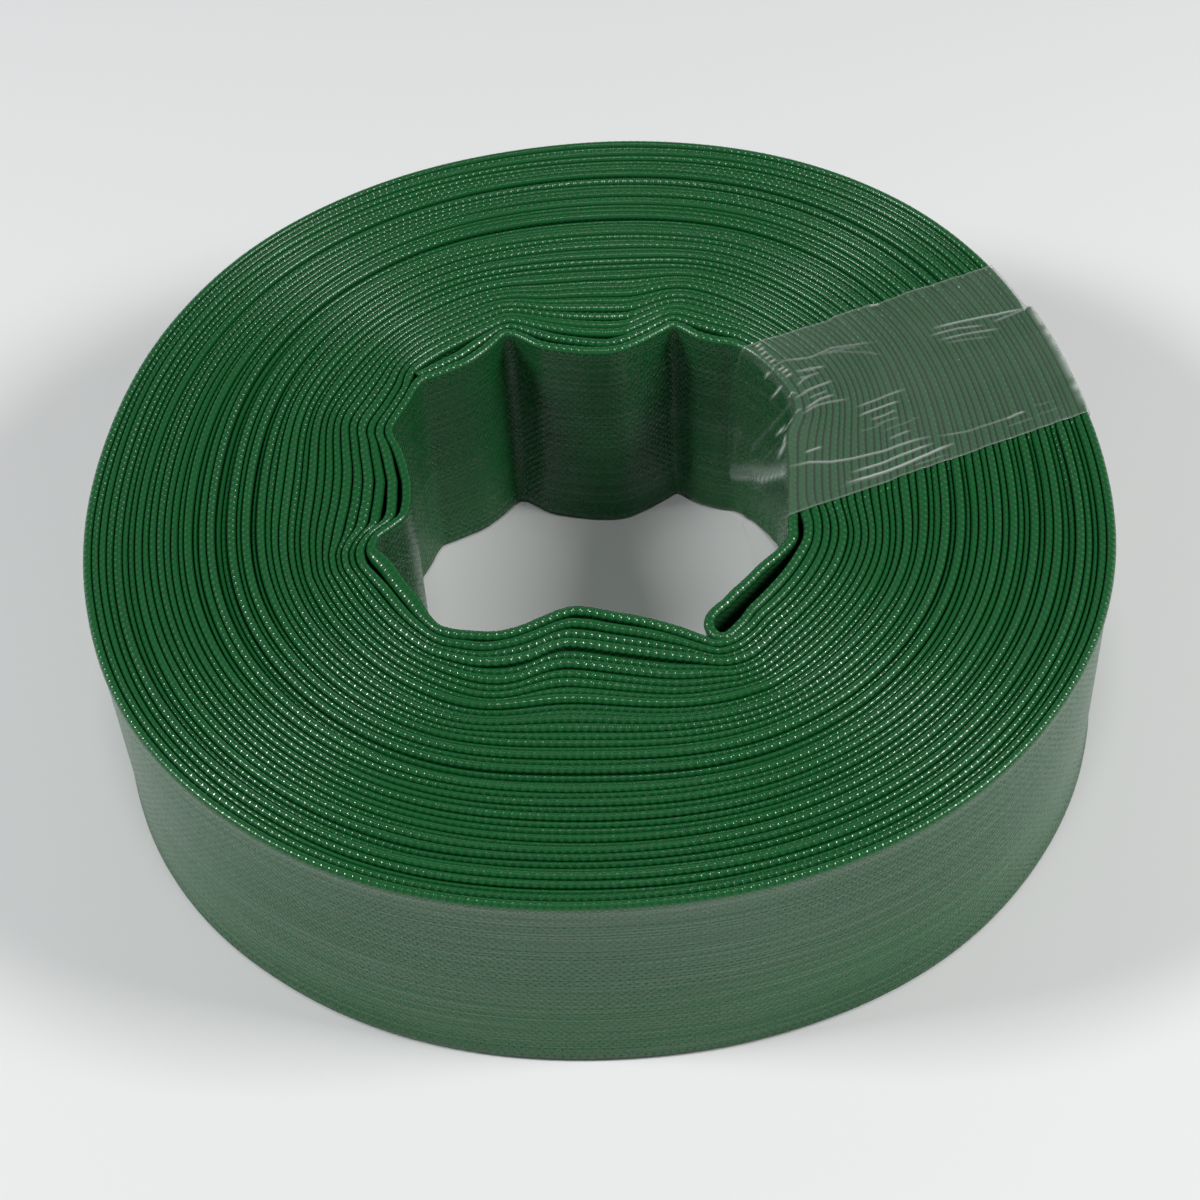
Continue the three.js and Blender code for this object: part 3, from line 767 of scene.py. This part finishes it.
# woven relief: rows along the hose, each shifted half a yarn from the next
lay_w, lay_r, _ = n.split(n.uv("lay"))
ps = n.math("MULTIPLY", s_, 2 * math.pi / BEAD)
pw = n.math("MULTIPLY", n.math("SUBTRACT", w_, 0.7), math.pi / ROW)
lattice = n.math("MULTIPLY", n.math("COSINE", ps), n.math("COSINE", pw))
band = n.math("COSINE", ps)
row = n.math("COSINE", n.math("MULTIPLY", n.math("SUBTRACT", lay_w, 0.7), math.pi / 1.4))
knob = n.math("MULTIPLY", band, row)                         # +1 on each knob of the folded edge
bead = n.smooth(n.math("ADD", n.math("MULTIPLY", knob, 0.65), n.math("MULTIPLY", band, 0.35)), -0.65, 0.45)
dist = n.math("ABSOLUTE", lay_w)
fold = n.smooth(dist, 1.5, 2.6, 1.0, 0.0)                    # 1 on the folded edge, 0 on the walls
big = n.noise(n.combine(n.math("MULTIPLY", s_, 0.010), n.math("MULTIPLY", w_, 0.03)), 1.0, 2.0)
fine = n.noise(n.combine(n.math("MULTIPLY", s_, 0.8), n.math("MULTIPLY", w_, 0.8)), 1.0, 3.0)
grain = n.noise(n.combine(n.math("MULTIPLY", s_, 0.33), n.math("MULTIPLY", w_, 0.4)), 1.0, 2.0)
streak = n.noise(n.combine(n.math("MULTIPLY", s_, 0.012), n.math("MULTIPLY", w_, 0.55)), 1.0, 3.0)
# on the walls the yarns print through as rows of small dimples, stronger in some places than others
dimple = n.math("MULTIPLY", n.smooth(lattice, -1.0, -0.1, -2.0, 0.45), n.smooth(grain, 0.32, 0.62, 0.55, 1.35))
ribs = n.math("MULTIPLY", n.math("COSINE", n.math("MULTIPLY", ps, 2.0)), 0.35)
wall_h = n.math("MULTIPLY", n.math("ADD", dimple, ribs), n.smooth(big, 0.30, 0.68, 0.35, 1.3))
rib = n.noise(n.combine(n.math("MULTIPLY", s_, 0.42), n.math("MULTIPLY", w_, 0.03)), 1.0, 2.0)
height = n.math("ADD", wall_h, n.math("MULTIPLY", streak, 2.6))
height = n.math("ADD", height, n.math("MULTIPLY", rib, 0.8))
height = n.math("MULTIPLY", height, n.math("SUBTRACT", 1.0, fold))
height = n.math("MULTIPLY", height, 0.85)
dome = n.smooth(knob, -0.1, 1.0)
height = n.math("ADD", height, n.math("MULTIPLY", n.math("MULTIPLY", dome, fold), n.math("MULTIPLY", lay_r, 1.05)))
height = n.math("ADD", height, n.math("MULTIPLY", fine, 0.14))
t.links.new(n.bump(height, 0.9, 0.00016), b.inputs["Normal"])
tone = n.noise(n.combine(n.math("MULTIPLY", s_, 0.004), n.math("MULTIPLY", w_, 0.02)), 1.0, 3.0)
colour = n.mix(n.smooth(tone, 0.3, 0.7), (0.0058, 0.082, 0.0195), (0.0085, 0.100, 0.0240))
# painted light and shade of the knobs: the base colour is painted lighter on the knob crests of the folded edge, as a
# painted highlight, and darker in the furrows between them, as painted shade
colour = n.mix(n.math("MULTIPLY", bead, n.math("MULTIPLY", fold, 0.34)), colour, (0.0105, 0.128, 0.031))
colour = n.mix(n.math("MULTIPLY", n.math("SUBTRACT", 1.0, bead), n.math("MULTIPLY", fold, 0.34)), colour, (0.004, 0.052, 0.014))
# the knobs that stand proud are rubbed smooth, so they shine more
crown = n.math("MULTIPLY", n.smooth(knob, 0.42, 0.85), n.smooth(lay_w, 0.1, 0.4))
crown = n.math("MULTIPLY", n.math("MULTIPLY", crown, fold), n.smooth(lay_r, 0.62, 1.25))
crown = n.math("MULTIPLY", crown, n.smooth(grain, 0.35, 0.60, 0.35, 1.0))
# paler grey-green streaks along the walls, following the streak relief: a painted reflection
painted_reflection_streaks = n.math("MULTIPLY", n.smooth(streak, 0.56, 0.74), n.math("SUBTRACT", 1.0, fold))
colour = n.mix(n.math("MULTIPLY", painted_reflection_streaks, 0.35), colour, (0.030, 0.105, 0.045))
# thin paler lines along the walls, a painted reflection; the same lines also get more gloss below
painted_reflection_lines = n.noise(n.combine(n.math("MULTIPLY", s_, 0.006), n.math("MULTIPLY", w_, 1.3), 7.0), 1.0, 1.0)
painted_reflection_lines = n.math("MULTIPLY", n.smooth(painted_reflection_lines, 0.53, 0.61), n.math("SUBTRACT", 1.0, fold))
colour = n.mix(n.math("MULTIPLY", painted_reflection_lines, 0.30), colour, (0.060, 0.135, 0.080))
# the bloom just below the rim, on the face that was outermost
bloom = n.math("MULTIPLY", n.smooth(lay_w, 2.4, 3.4), n.smooth(lay_w, 4.5, 8.5, 1.0, 0.0))
bloom = n.math("MULTIPLY", bloom, n.smooth(big, 0.35, 0.6, 0.6, 1.0))
colour = n.mix(n.math("MULTIPLY", bloom, 0.50), colour, (0.045, 0.115, 0.052))
t.links.new(colour, b.inputs["Base Color"])
rough = n.smooth(fine, 0.25, 0.75, 0.13, 0.20)
rough = n.math("ADD", rough, n.math("MULTIPLY", n.math("SUBTRACT", 1.0, bead), n.math("MULTIPLY", fold, 0.2)))
furrow = n.math("MULTIPLY", n.math("SUBTRACT", 1.0, bead), fold)
gloss = n.math("SUBTRACT", n.math("ADD", 0.34, n.math("MULTIPLY", fold, 0.26)), n.math("MULTIPLY", furrow, 0.35))
gloss = n.math("ADD", gloss, n.math("ADD", n.math("MULTIPLY", painted_reflection_lines, 0.26), n.math("MULTIPLY", bloom, 0.34)))
gloss = n.math("MINIMUM", n.math("ADD", gloss, n.math("MULTIPLY", crown, 0.9)), 1.0)
t.links.new(gloss, b.inputs["Specular IOR Level"])
rough = n.math("ADD", rough, n.math("MULTIPLY", n.math("SUBTRACT", 1.0, fold), 0.10))
t.links.new(rough, b.inputs["Roughness"])
b.inputs["IOR"].default_value = 1.5
for ob in hose:
    ob.data.materials.append(vinyl)

nodes_hose = ["hose_coil", "hose_inner_turn", "hose_folded_start", "hose_outer_turn"]
for j, ob in enumerate(hose):
    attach(ob, "root")
    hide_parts(*nodes_hose)

# ---- the strip of clear packing tape, once round the section of the roll --------------------------
CREASES = [[[[57.2, -21.3], [63.5, -22.3], [70.1, -25.0], [77.3, -26.5], [88.0, -27.6], [97.6, -27.7], [102.9, -28.3]],
    0.45, 0.35, 0.75], [[[104.9, -29.2], [114.4, -31.1], [124.8, -31.4], [134.8, -31.0]], 0.35, 0.2, 0.45], [[[74.1,
    -31.5], [82.7, -31.9], [92.4, -31.6], [102.2, -31.2]], 0.45, 0.4, 0.85], [[[70.5, -34.8], [77.7, -35.4], [88.7,
    -35.7], [102.2, -34.4], [108.1, -33.9]], 0.5, 0.5, 1.0], [[[125.5, 14.0], [135.1, 13.1], [152.2, 10.4], [157.7,
    9.6]], 0.45, 0.35, 0.8], [[[123.4, 11.5], [132.9, 10.6], [141.1, 8.5]], 0.4, 0.3, 0.6], [[[125.1, 8.4], [135.3,
    7.1], [145.0, 4.9]], 0.4, 0.3, 0.6], [[[126.5, 6.3], [134.1, 4.8], [140.6, 2.9]], 0.35, 0.2, 0.35], [[[144.5,
    8.7], [151.4, 9.0], [156.8, 9.4]], 0.4, 0.2, 0.5], [[[87.7, -7.1], [95.2, -6.7], [104.7, -6.6]], 0.4, 0.3, 0.6],
    [[[86.7, -10.7], [94.2, -10.3], [100.6, -10.6]], 0.4, 0.35, 0.8], [[[89.2, -13.8], [94.9, -13.9], [98.3,
    -13.6]], 0.4, 0.3, 0.6], [[[89.6, -16.4], [93.6, -16.4], [97.5, -16.8]], 0.35, 0.2, 0.4], [[[90.3, -19.8],
    [96.7, -20.0], [103.5, -19.3]], 0.3, 0.15, 0.25], [[[90.7, -23.8], [94.9, -23.5], [98.2, -23.4]], 0.4, 0.3,
    0.55], [[[83.7, -16.8], [86.8, -17.1], [91.6, -17.1]], 0.3, 0.15, 0.25], [[[74.9, 21.3], [79.5, 19.8], [84.1,
    19.0], [91.9, 20.0], [97.1, 18.8], [105.1, 16.5]], 0.35, 0.3, 0.55], [[[85.8, 19.2], [93.3, 17.7], [100.5,
    13.8], [105.2, 10.1]], 0.35, 0.2, 0.3], [[[88.1, 19.0], [95.2, 18.2], [100.3, 16.8]], 0.3, 0.2, 0.35], [[[77.1,
    14.6], [81.1, 14.5], [86.3, 13.4]], 0.45, 0.35, 0.6], [[[76.2, 12.0], [79.6, 11.5], [83.4, 11.7]], 0.4, 0.3,
    0.5], [[[74.4, 5.7], [80.4, 6.3], [85.4, 6.6]], 0.45, 0.35, 0.7], [[[75.4, 2.7], [79.6, 3.0], [82.2, 3.3]], 0.4,
    0.3, 0.5], [[[72.4, -1.1], [78.6, 0.8], [83.4, 0.8]], 0.45, 0.4, 0.7], [[[70.5, -2.7], [75.9, -1.3], [80.3,
    -1.5], [86.6, -2.7]], 0.45, 0.3, 0.5], [[[64.3, -18.1], [67.1, -18.0], [69.9, -18.0]], 0.45, 0.3, 0.75],
    [[[128.0, -31.5], [131.5, -31.1], [134.8, -31.0]], 0.4, 0.3, 0.8], [[[126.4, -34.5], [131.3, -34.5], [136.1,
    -34.6]], 0.3, 0.15, 0.25], [[[138.5, -30.2], [141.6, -30.5], [144.0, -30.7]], 0.3, 0.15, 0.2], [[[137.4, -33.9],
    [141.4, -34.0], [145.4, -34.2]], 0.3, 0.15, 0.2], [[[111.4, 31.7], [113.1, 31.8], [114.9, 31.9]], 0.45, 0.2,
    0.9], [[[114.9, -40.8], [122.0, -41.2], [130.8, -41.4]], 0.45, 0.1, 0.7], [[[67.4, -35.5], [74.2, -36.1], [82.0,
    -36.4]], 0.3, 0.15, 0.15], [[[91.9, -37.2], [100.0, -37.2], [103.9, -37.4]], 0.3, 0.15, 0.3], [[[69.4, 18.8],
    [71.5, 20.4], [75.1, 21.2], [77.8, 20.6], [82.6, 19.3]], 0.3, 0.2, 0.5], [[[69.6, 17.2], [69.6, 14.1], [70.0,
    11.7]], 0.4, 0.2, 1.0], [[[72.8, 6.2], [71.6, 7.5], [69.1, 6.9], [66.9, 4.9], [66.2, 2.3], [66.9, 0.3]], 0.35,
    0.4, 1.0], [[[70.7, 10.2], [70.4, 9.3], [70.5, 8.0]], 0.35, 0.3, 0.8], [[[68.0, -1.5], [69.8, -0.8], [71.3,
    -0.5]], 0.35, 0.3, 0.6], [[[69.7, 3.6], [68.4, 2.3], [69.2, 0.9]], 0.35, 0.3, 0.5], [[[71.6, 4.5], [74.0, 5.1],
    [76.4, 5.5]], 0.4, 0.3, 0.5], [[[74.6, 9.3], [77.5, 11.0], [80.7, 11.5]], 0.4, 0.3, 0.6], [[[76.7, 15.4], [80.4,
    13.9], [83.1, 13.5]], 0.35, 0.3, 0.5], [[[69.5, 30.5], [70.7, 30.9], [71.8, 31.3]], 0.4, 0.3, 0.9], [[[69.7,
    28.7], [70.9, 29.0], [72.0, 29.4]], 0.4, 0.3, 0.9], [[[69.7, 26.6], [70.9, 27.0], [72.0, 27.4]], 0.4, 0.3, 0.9],
    [[[70.1, 24.4], [71.3, 24.7], [72.4, 25.1]], 0.4, 0.3, 0.9], [[[70.7, 22.3], [72.0, 22.6], [73.1, 23.0]], 0.4,
    0.3, 0.9], [[[71.8, 18.0], [73.1, 18.3], [74.2, 18.7]], 0.4, 0.3, 0.9], [[[72.5, 16.4], [73.8, 16.8], [74.9,
    17.2]], 0.4, 0.3, 0.9], [[[72.8, 14.3], [74.0, 14.6], [75.1, 15.0]], 0.4, 0.3, 0.9]]
NV, NU = ((162, 182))
cu = np.array([math.cos(math.radians(TAPE_ANGLE)), math.sin(math.radians(TAPE_ANGLE))])
cv = np.array([-cu[1], cu[0]])
pts = fine_xy + SHIFT[:2]
face_out = pts + normal * (B_PLUS + 0.12)[:, None]
face_in = pts - normal * (B_MINUS + 0.12)[:, None]
lane = np.linspace(0, 1, NV)
V_LO, V_HI = TAPE_MID - 36.0, TAPE_MID + 36.0
vv = V_LO + (V_HI - V_LO) * lane
su, sv = pts @ cu, pts @ cv
band = (su > 20) & (np.abs(sv - TAPE_MID) < 42) & (zone == 2)


def reach(points, pick, far):
    """The furthest (or nearest) distance along the tape of a set of points, for each lane."""
    pu, pv = points[pick] @ cu, points[pick] @ cv
    k = np.round((pv - V_LO) / 0.5).astype(int) + 4
    n_bin = int((V_HI - V_LO) / 0.5) + 9
    got = np.full(n_bin, -1e9 if far else 1e9)
    ok = (k >= 0) & (k < n_bin)
    (np.maximum if far else np.minimum).at(got, k[ok], pu[ok])
    where = V_LO + (np.arange(n_bin) - 4) * 0.5
    fine = np.abs(got) < 1e8
    return np.interp(vv, where[fine], got[fine])


u_out = reach(face_out, band & (phi_s > LAST - 400), True)
u_out = np.maximum(u_out, blur(u_out, 5))
u_in = reach(face_in, band & (phi_s < 296 + 400), False)
# lower hull: the film spans the hollows of the eye wall
hull = []
for q in range(NV):
    while len(hull) > 1 and (u_in[hull[-1]] - u_in[hull[-2]]) * (q - hull[-2]) >= (u_in[q] - u_in[hull[-2]]) * (hull[-1] - hull[-2]):
        hull.pop()
    hull.append(q)
u_hull = np.interp(np.arange(NV), hull, u_in[hull]) - 0.2
# height of the turns under the film
cell = 0.6
gu, gv = int(130 / cell), int(90 / cell)
field = np.full((gu, gv), 0.0)
a, b = ((su[band] - 45) / cell).astype(int), ((sv[band] - TAPE_MID + 45) / cell).astype(int)
ok = (a >= 0) & (a < gu) & (b >= 0) & (b < gv)
np.maximum.at(field, (a[ok], b[ok]), TOP[band][ok])
field = np.where(field < 70, 0, field)
for _ in range(4):
    f2 = np.pad(field, 1, mode="edge")
    field = np.maximum.reduce([f2[1:-1, 1:-1], f2[:-2, 1:-1], f2[2:, 1:-1], f2[1:-1, :-2], f2[1:-1, 2:]])
field = np.where(field < 70, WIDTH - 0.4, field)
soft = np.array([blur(row, 2.0) for row in field])
soft = np.array([blur(row, 1.5) for row in soft.T]).T


def field_at(u, v):
    x = np.clip((u - 45) / cell - 0.5, 0, gu - 1.001)
    y = np.clip((v - TAPE_MID + 45) / cell - 0.5, 0, gv - 1.001)
    i, j = x.astype(int), y.astype(int)
    fx_, fy_ = x - i, y - j
    return ((soft[i, j] * (1 - fx_) + soft[i + 1, j] * fx_) * (1 - fy_) + (soft[i, j + 1] * (1 - fx_) + soft[i + 1, j + 1] * fx_) * fy_)


def near_line(u, v, line):
    """Distance to a polyline and how far along it, 0 to 1."""
    best, where = np.full(u.shape, 1e9), np.zeros(u.shape)
    line = np.array(line)
    seg = np.hypot(*np.diff(line, axis=0).T)
    total, done = seg.sum(), 0.0
    for k in range(len(seg)):
        d = (line[k + 1] - line[k]) / max(seg[k], 1e-6)
        t = np.clip((u - line[k][0]) * d[0] + (v - line[k][1]) * d[1], 0, seg[k])
        dist_ = np.hypot(u - line[k][0] - t * d[0], v - line[k][1] - t * d[1])
        closer = dist_ < best
        best = np.where(closer, dist_, best)
        where = np.where(closer, (done + t) / total, where)
        done += seg[k]
    return best, where


rows_u, rows_z, rows_v = [], [], []
share = np.linspace(0, 1, NU)
for t in share:                                                    # across the top, from the rim inwards
    rows_u.append(u_out - 1.0 + (u_in + 1.1 - u_out + 1.0) * t)
    rows_z.append(None)
for du, z in ((0.5, 83.75), (0.1, 83.2), (-0.05, 82.5)):          # over the edge of the eye
    rows_u.append(u_in + du)
    rows_z.append(np.full(NV, z))
pleat = smooth_noise(rng, NV, (V_HI - V_LO) / NV, 6.0)
for z in np.linspace(81.5, 1.5, 38):              # hanging in the eye, a little slack
    h = (84 - z) / 84
    pull = min(h / 0.22, 1.0) * min((1 - h) / 0.15, 1.0)
    pull = pull * pull * (3 - 2 * pull)
    slack = 4.5 * math.sin(math.pi * h) ** 0.8
    far_side = 0.35 + 0.65 * lane
    rows_u.append(u_in + (u_hull - u_in) * pull - slack * far_side * np.minimum(1, 4 * lane + 0.2) - 0.45 * pull * (pleat + 1) * (1 - h))
    rows_z.append(np.full(NV, z))
for du, z in ((0.1, 0.6), (0.6, -0.05)):
    rows_u.append(u_in + du)
    rows_z.append(np.full(NV, z))
for t in np.linspace(0, 1, 24):                   # underneath
    rows_u.append(u_in + 1.6 + (u_out - 1.4 - u_in - 1.6) * t)
    rows_z.append(np.full(NV, -0.09))
for du, z in ((-0.5, 0.0), (0.0, 0.7)):
    rows_u.append(u_out + du)
    rows_z.append(np.full(NV, z))
for z in np.linspace(2.0, 82.0, 14):               # up the outer wall
    rows_u.append(u_out + 0.08)
    rows_z.append(np.full(NV, z))
for du, z in ((0.05, 82.9), (-0.1, 83.5), (-0.45, 83.88)):
    rows_u.append(u_out + du)
    rows_z.append(np.full(NV, z))
fu = np.array(rows_u)
NP = len(fu)
fv = np.tile(vv, (NP, 1))
fz = np.zeros((NP, NV))
top_z = field_at(fu[:NU], fv[:NU]) + 0.30
# crease marks make the film whiter and less clear along each crease: partly the film's own whitening at the fold,
# partly a painted highlight
crease_and_highlight = np.zeros((NP, NV))
lift_by = np.zeros((NU, NV))
for line, wide, high, white in CREASES:
    d, t = near_line(fu[:NU + 3], fv[:NU + 3], line)
    mark = np.exp(-(d / (0.85 * wide)) ** 2) * np.clip(np.minimum(t, 1 - t) * 5 + 0.25, 0, 1)
    crease_and_highlight[:NU + 3] = np.maximum(crease_and_highlight[:NU + 3], mark * white * 0.85)
    lift_by = np.maximum(lift_by, mark[:NU] * high)
fray = 0.5 * smooth_noise(rng, NV, (V_HI - V_LO) / NV, 2.5)
for k in range(NP):
    if k < NU:
        fz[k] = top_z[k] + lift_by[k]
        fz[k] = np.minimum(fz[k], 84.45)
    else:
        fz[k] = rows_z[k]
# the turned-down flap in the eye and the gathers at the rim; their marks whiten the film, partly its own whitening at
# the folds and partly a painted highlight
hang = np.arange(NU + 3, NU + 3 + (38))
hz, hv = fz[hang], fv[hang]
for line, wide, white in (([(-21.5, 83.0), (-12, 73.0), (-1, 63.5), (12, 49.0), (25, 35.0)], 2.0, 0.40),
                          ([(-21.5, 81.5), (-12, 70.5), (-1, 60.5), (12, 46.0), (25, 32.0)], 0.8, 0.75),
                          ([(18, 60.0), (22, 52.0), (24, 44.0)], 4.0, 0.10),
                          ([(-38, 84.0), (-34, 60.0), (-30, 30.0)], 4.5, 0.16),
                          ([(-5, 82.0), (-6, 62.0)], 0.8, 0.10),
                          ([(5, 82.0), (3, 58.0)], 0.8, 0.10),
                          ([(3, 83.5), (0.5, 83.5), (-1.5, 82.2), (-2.6, 80.2), (-2.0, 78.2), (0, 76.6)], 0.45, 1.0),
                          ([(-4, 83.5), (-7, 82.5), (-11.5, 78.5)], 0.9, 0.95),
                          ([(-5.5, 83.5), (-9, 82.5), (-12, 80.0)], 0.9, 0.7),
                          ([(14, 83.5), (12.5, 81.0), (13, 79.0)], 0.4, 0.8),
                          ([(22, 83.5), (20, 81.5)], 0.4, 0.8),
                          ([(-14, 83.0), (-10, 81.0), (-8, 76.0)], 0.35, 0.3)):
    d, t = near_line(hv, hz, line)
    crease_and_highlight[hang] = np.maximum(crease_and_highlight[hang], np.exp(-(d / wide) ** 2) * white)
flap = np.exp(-(near_line(hv, hz, [(-21.5, 82.0), (-1, 62.0), (25, 33.0)])[0] / 3.5) ** 2)
fu[hang] -= 1.6 * flap
# the film is drawn whiter and less clear along its two side edges, a painted highlight, and only a quarter as much
# where it hangs in the eye
edge = np.zeros((NP, NV))
edge[:, 0] = edge[:, -1] = 1
edge[:, 1] = edge[:, -2] = 0.5
edge[hang] *= 0.25
# painted highlight where the film bends over the outer rim: the last rows up the outer wall and the first rows across
# the top are drawn whiter and less clear, unevenly along the rim
rim = np.zeros((NP, NV))
rim[-6:, :] = np.clip(0.55 + 0.5 * fray, 0.1, 1.0)[None]
rim[:5, :] = np.array([1.0, 0.8, 0.5, 0.25, 0.1])[:, None] * np.clip(0.65 + 0.4 * fray, 0.2, 1.0)[None]
rim *= np.clip((lane - 0.03) / 0.1, 0, 1)[None] * np.clip((0.72 - lane) / 0.06, 0, 1)[None]
crease_and_highlight = np.maximum(crease_and_highlight, rim * 0.8)
mid = np.stack([fu, fz], -1)
tan = np.roll(mid, -1, 0) - np.roll(mid, 1, 0)
tan /= np.maximum(np.hypot(tan[..., 0], tan[..., 1]), 1e-9)[..., None]
nrm = np.stack([tan[..., 1], -tan[..., 0]], -1)                    # away from the hose
if nrm[NU // 2, NV // 2, 1] < 0:
    nrm = -nrm
skins = []
for off in (0.04, -0.04):
    q = mid + nrm * off
    p = q[..., 0:1] * cu + fv[..., None] * cv
    skins.append(np.concatenate([p, q[..., 1:2]], -1))
verts = np.concatenate([k.reshape(-1, 3) for k in skins])
steps = np.hypot(*np.diff(mid[:, NV // 2], axis=0).T)
run = np.concatenate([[0], np.cumsum(steps)])
loop_len = float(run[-1] + np.hypot(*(mid[0, NV // 2] - mid[-1, NV // 2])))
quads, uvs, uvs2 = [], [], []


def corner(k, j):
    return (run[k % NP] if k < NP else loop_len, vv[j])


k_, j_ = np.meshgrid(np.arange(NP), np.arange(NV - 1), indexing="ij")
k_, j_ = k_.reshape(-1), j_.reshape(-1)
k2_ = (k_ + 1) % NP
run2 = np.append(run, loop_len)
for side_no in (0, 1):
    o = side_no * NP * NV
    q = np.stack([o + k_ * NV + j_, o + k_ * NV + j_ + 1, o + k2_ * NV + j_ + 1, o + k2_ * NV + j_], 1)
    uq = np.stack([np.stack([run2[k_], vv[j_]], 1), np.stack([run2[k_], vv[j_ + 1]], 1),
                   np.stack([run2[k_ + 1], vv[j_ + 1]], 1), np.stack([run2[k_ + 1], vv[j_]], 1)], 1)
    mq = np.stack([np.stack([crease_and_highlight[a_, b_], edge[a_, b_]], 1) for a_, b_ in ((k_, j_), (k_, j_ + 1), (k2_, j_ + 1), (k2_, j_))], 1)
    if side_no:
        q, uq, mq = q[:, ::-1], uq[:, ::-1], mq[:, ::-1]
    quads.append(q)
    uvs.append(uq)
    uvs2.append(mq)
kk = np.arange(NP)
kn = (kk + 1) % NP
for j, flip in ((0, False), (NV - 1, True)):
    q = np.stack([kk * NV + j, kn * NV + j, NP * NV + kn * NV + j, NP * NV + kk * NV + j], 1)
    if flip:
        q = q[:, ::-1]
    quads.append(q)
    uvs.append(np.tile(np.array([[0.0, vv[j]]]), (len(q), 4, 1)))
    uvs2.append(np.tile(np.array([[0.2, 1.0]]), (len(q), 4, 1)))
quads = np.concatenate(quads)
uvs = np.concatenate(uvs)
uvs2 = np.concatenate(uvs2)
# outward faces
p0, p1, p2 = (skins[0][NU // 2, NV // 2], skins[0][NU // 2, NV // 2 + 1], skins[0][NU // 2 + 1, NV // 2])
if np.cross(p1 - p0, p2 - p0)[2] < 0:
    quads, uvs, uvs2 = quads[:, ::-1], uvs[:, ::-1], uvs2[:, ::-1]
tape = mesh_from("packing_tape", verts * MM, quads, uvs.reshape(-1, 2), None, uvs2.reshape(-1, 2))
RUN_RIM, RUN_FOOT = float(run[NU + 2]), float(run[hang[-1]])
film, t, b = new_material("tape_film")
n = Nodes(t)
s_, w_, _ = n.split(n.uv("weave"))
crease_highlight_uv, edge_highlight_uv, _ = n.split(n.uv("lay"))
scuff = n.noise(n.combine(n.math("MULTIPLY", s_, 0.035), n.math("MULTIPLY", w_, 1.5)), 1.0, 3.0)
patch = n.noise(n.combine(n.math("MULTIPLY", s_, 0.03), n.math("MULTIPLY", w_, 0.05)), 1.0, 2.0)
line = n.smooth(scuff, 0.62, 0.80)
alpha = n.smooth(patch, 0.3, 0.7, 0.085, 0.112)
alpha = n.math("ADD", alpha, n.math("MULTIPLY", line, 0.04))
# the stretch hanging in the eye carries no adhesive haze
clear = n.math("MULTIPLY", n.smooth(s_, RUN_RIM, RUN_RIM + 3.0), n.smooth(s_, RUN_FOOT - 3.0, RUN_FOOT, 1.0, 0.0))
alpha = n.math("MULTIPLY", alpha, n.math("SUBTRACT", 1.0, n.math("MULTIPLY", clear, 0.88)))
# crease marks, the rim band and the side edges raise the film's alpha and whiten its tint: painted highlight, partly
# the film's own whitening at the creases
alpha = n.math("ADD", alpha, n.math("MULTIPLY", crease_highlight_uv, 0.55))
alpha = n.math("ADD", alpha, n.math("MULTIPLY", edge_highlight_uv, 0.18), clamp=True)
t.links.new(alpha, b.inputs["Alpha"])
tint = n.mix(n.math("ADD", crease_highlight_uv, n.math("MULTIPLY", edge_highlight_uv, 0.25), clamp=True), (0.27, 0.32, 0.275), (0.74, 0.82, 0.75))
t.links.new(tint, b.inputs["Base Color"])
wave = n.math("ADD", n.math("MULTIPLY", scuff, 0.5), n.math("MULTIPLY", crease_highlight_uv, 0.5))
t.links.new(n.bump(wave, 0.5, 0.0002), b.inputs["Normal"])
t.links.new(n.smooth(scuff, 0.3, 0.7, 0.12, 0.22), b.inputs["Roughness"])
b.inputs["IOR"].default_value = 1.5
b.inputs["Specular IOR Level"].default_value = 0.9
tape.data.materials.append(film)
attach(tape, "root")
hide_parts("tape_band")
print("tape loop %.1f mm, rim %.1f..%.1f, outer %.1f..%.1f" % (loop_len, u_in.min(), u_in.max(), u_out.min(), u_out.max()))
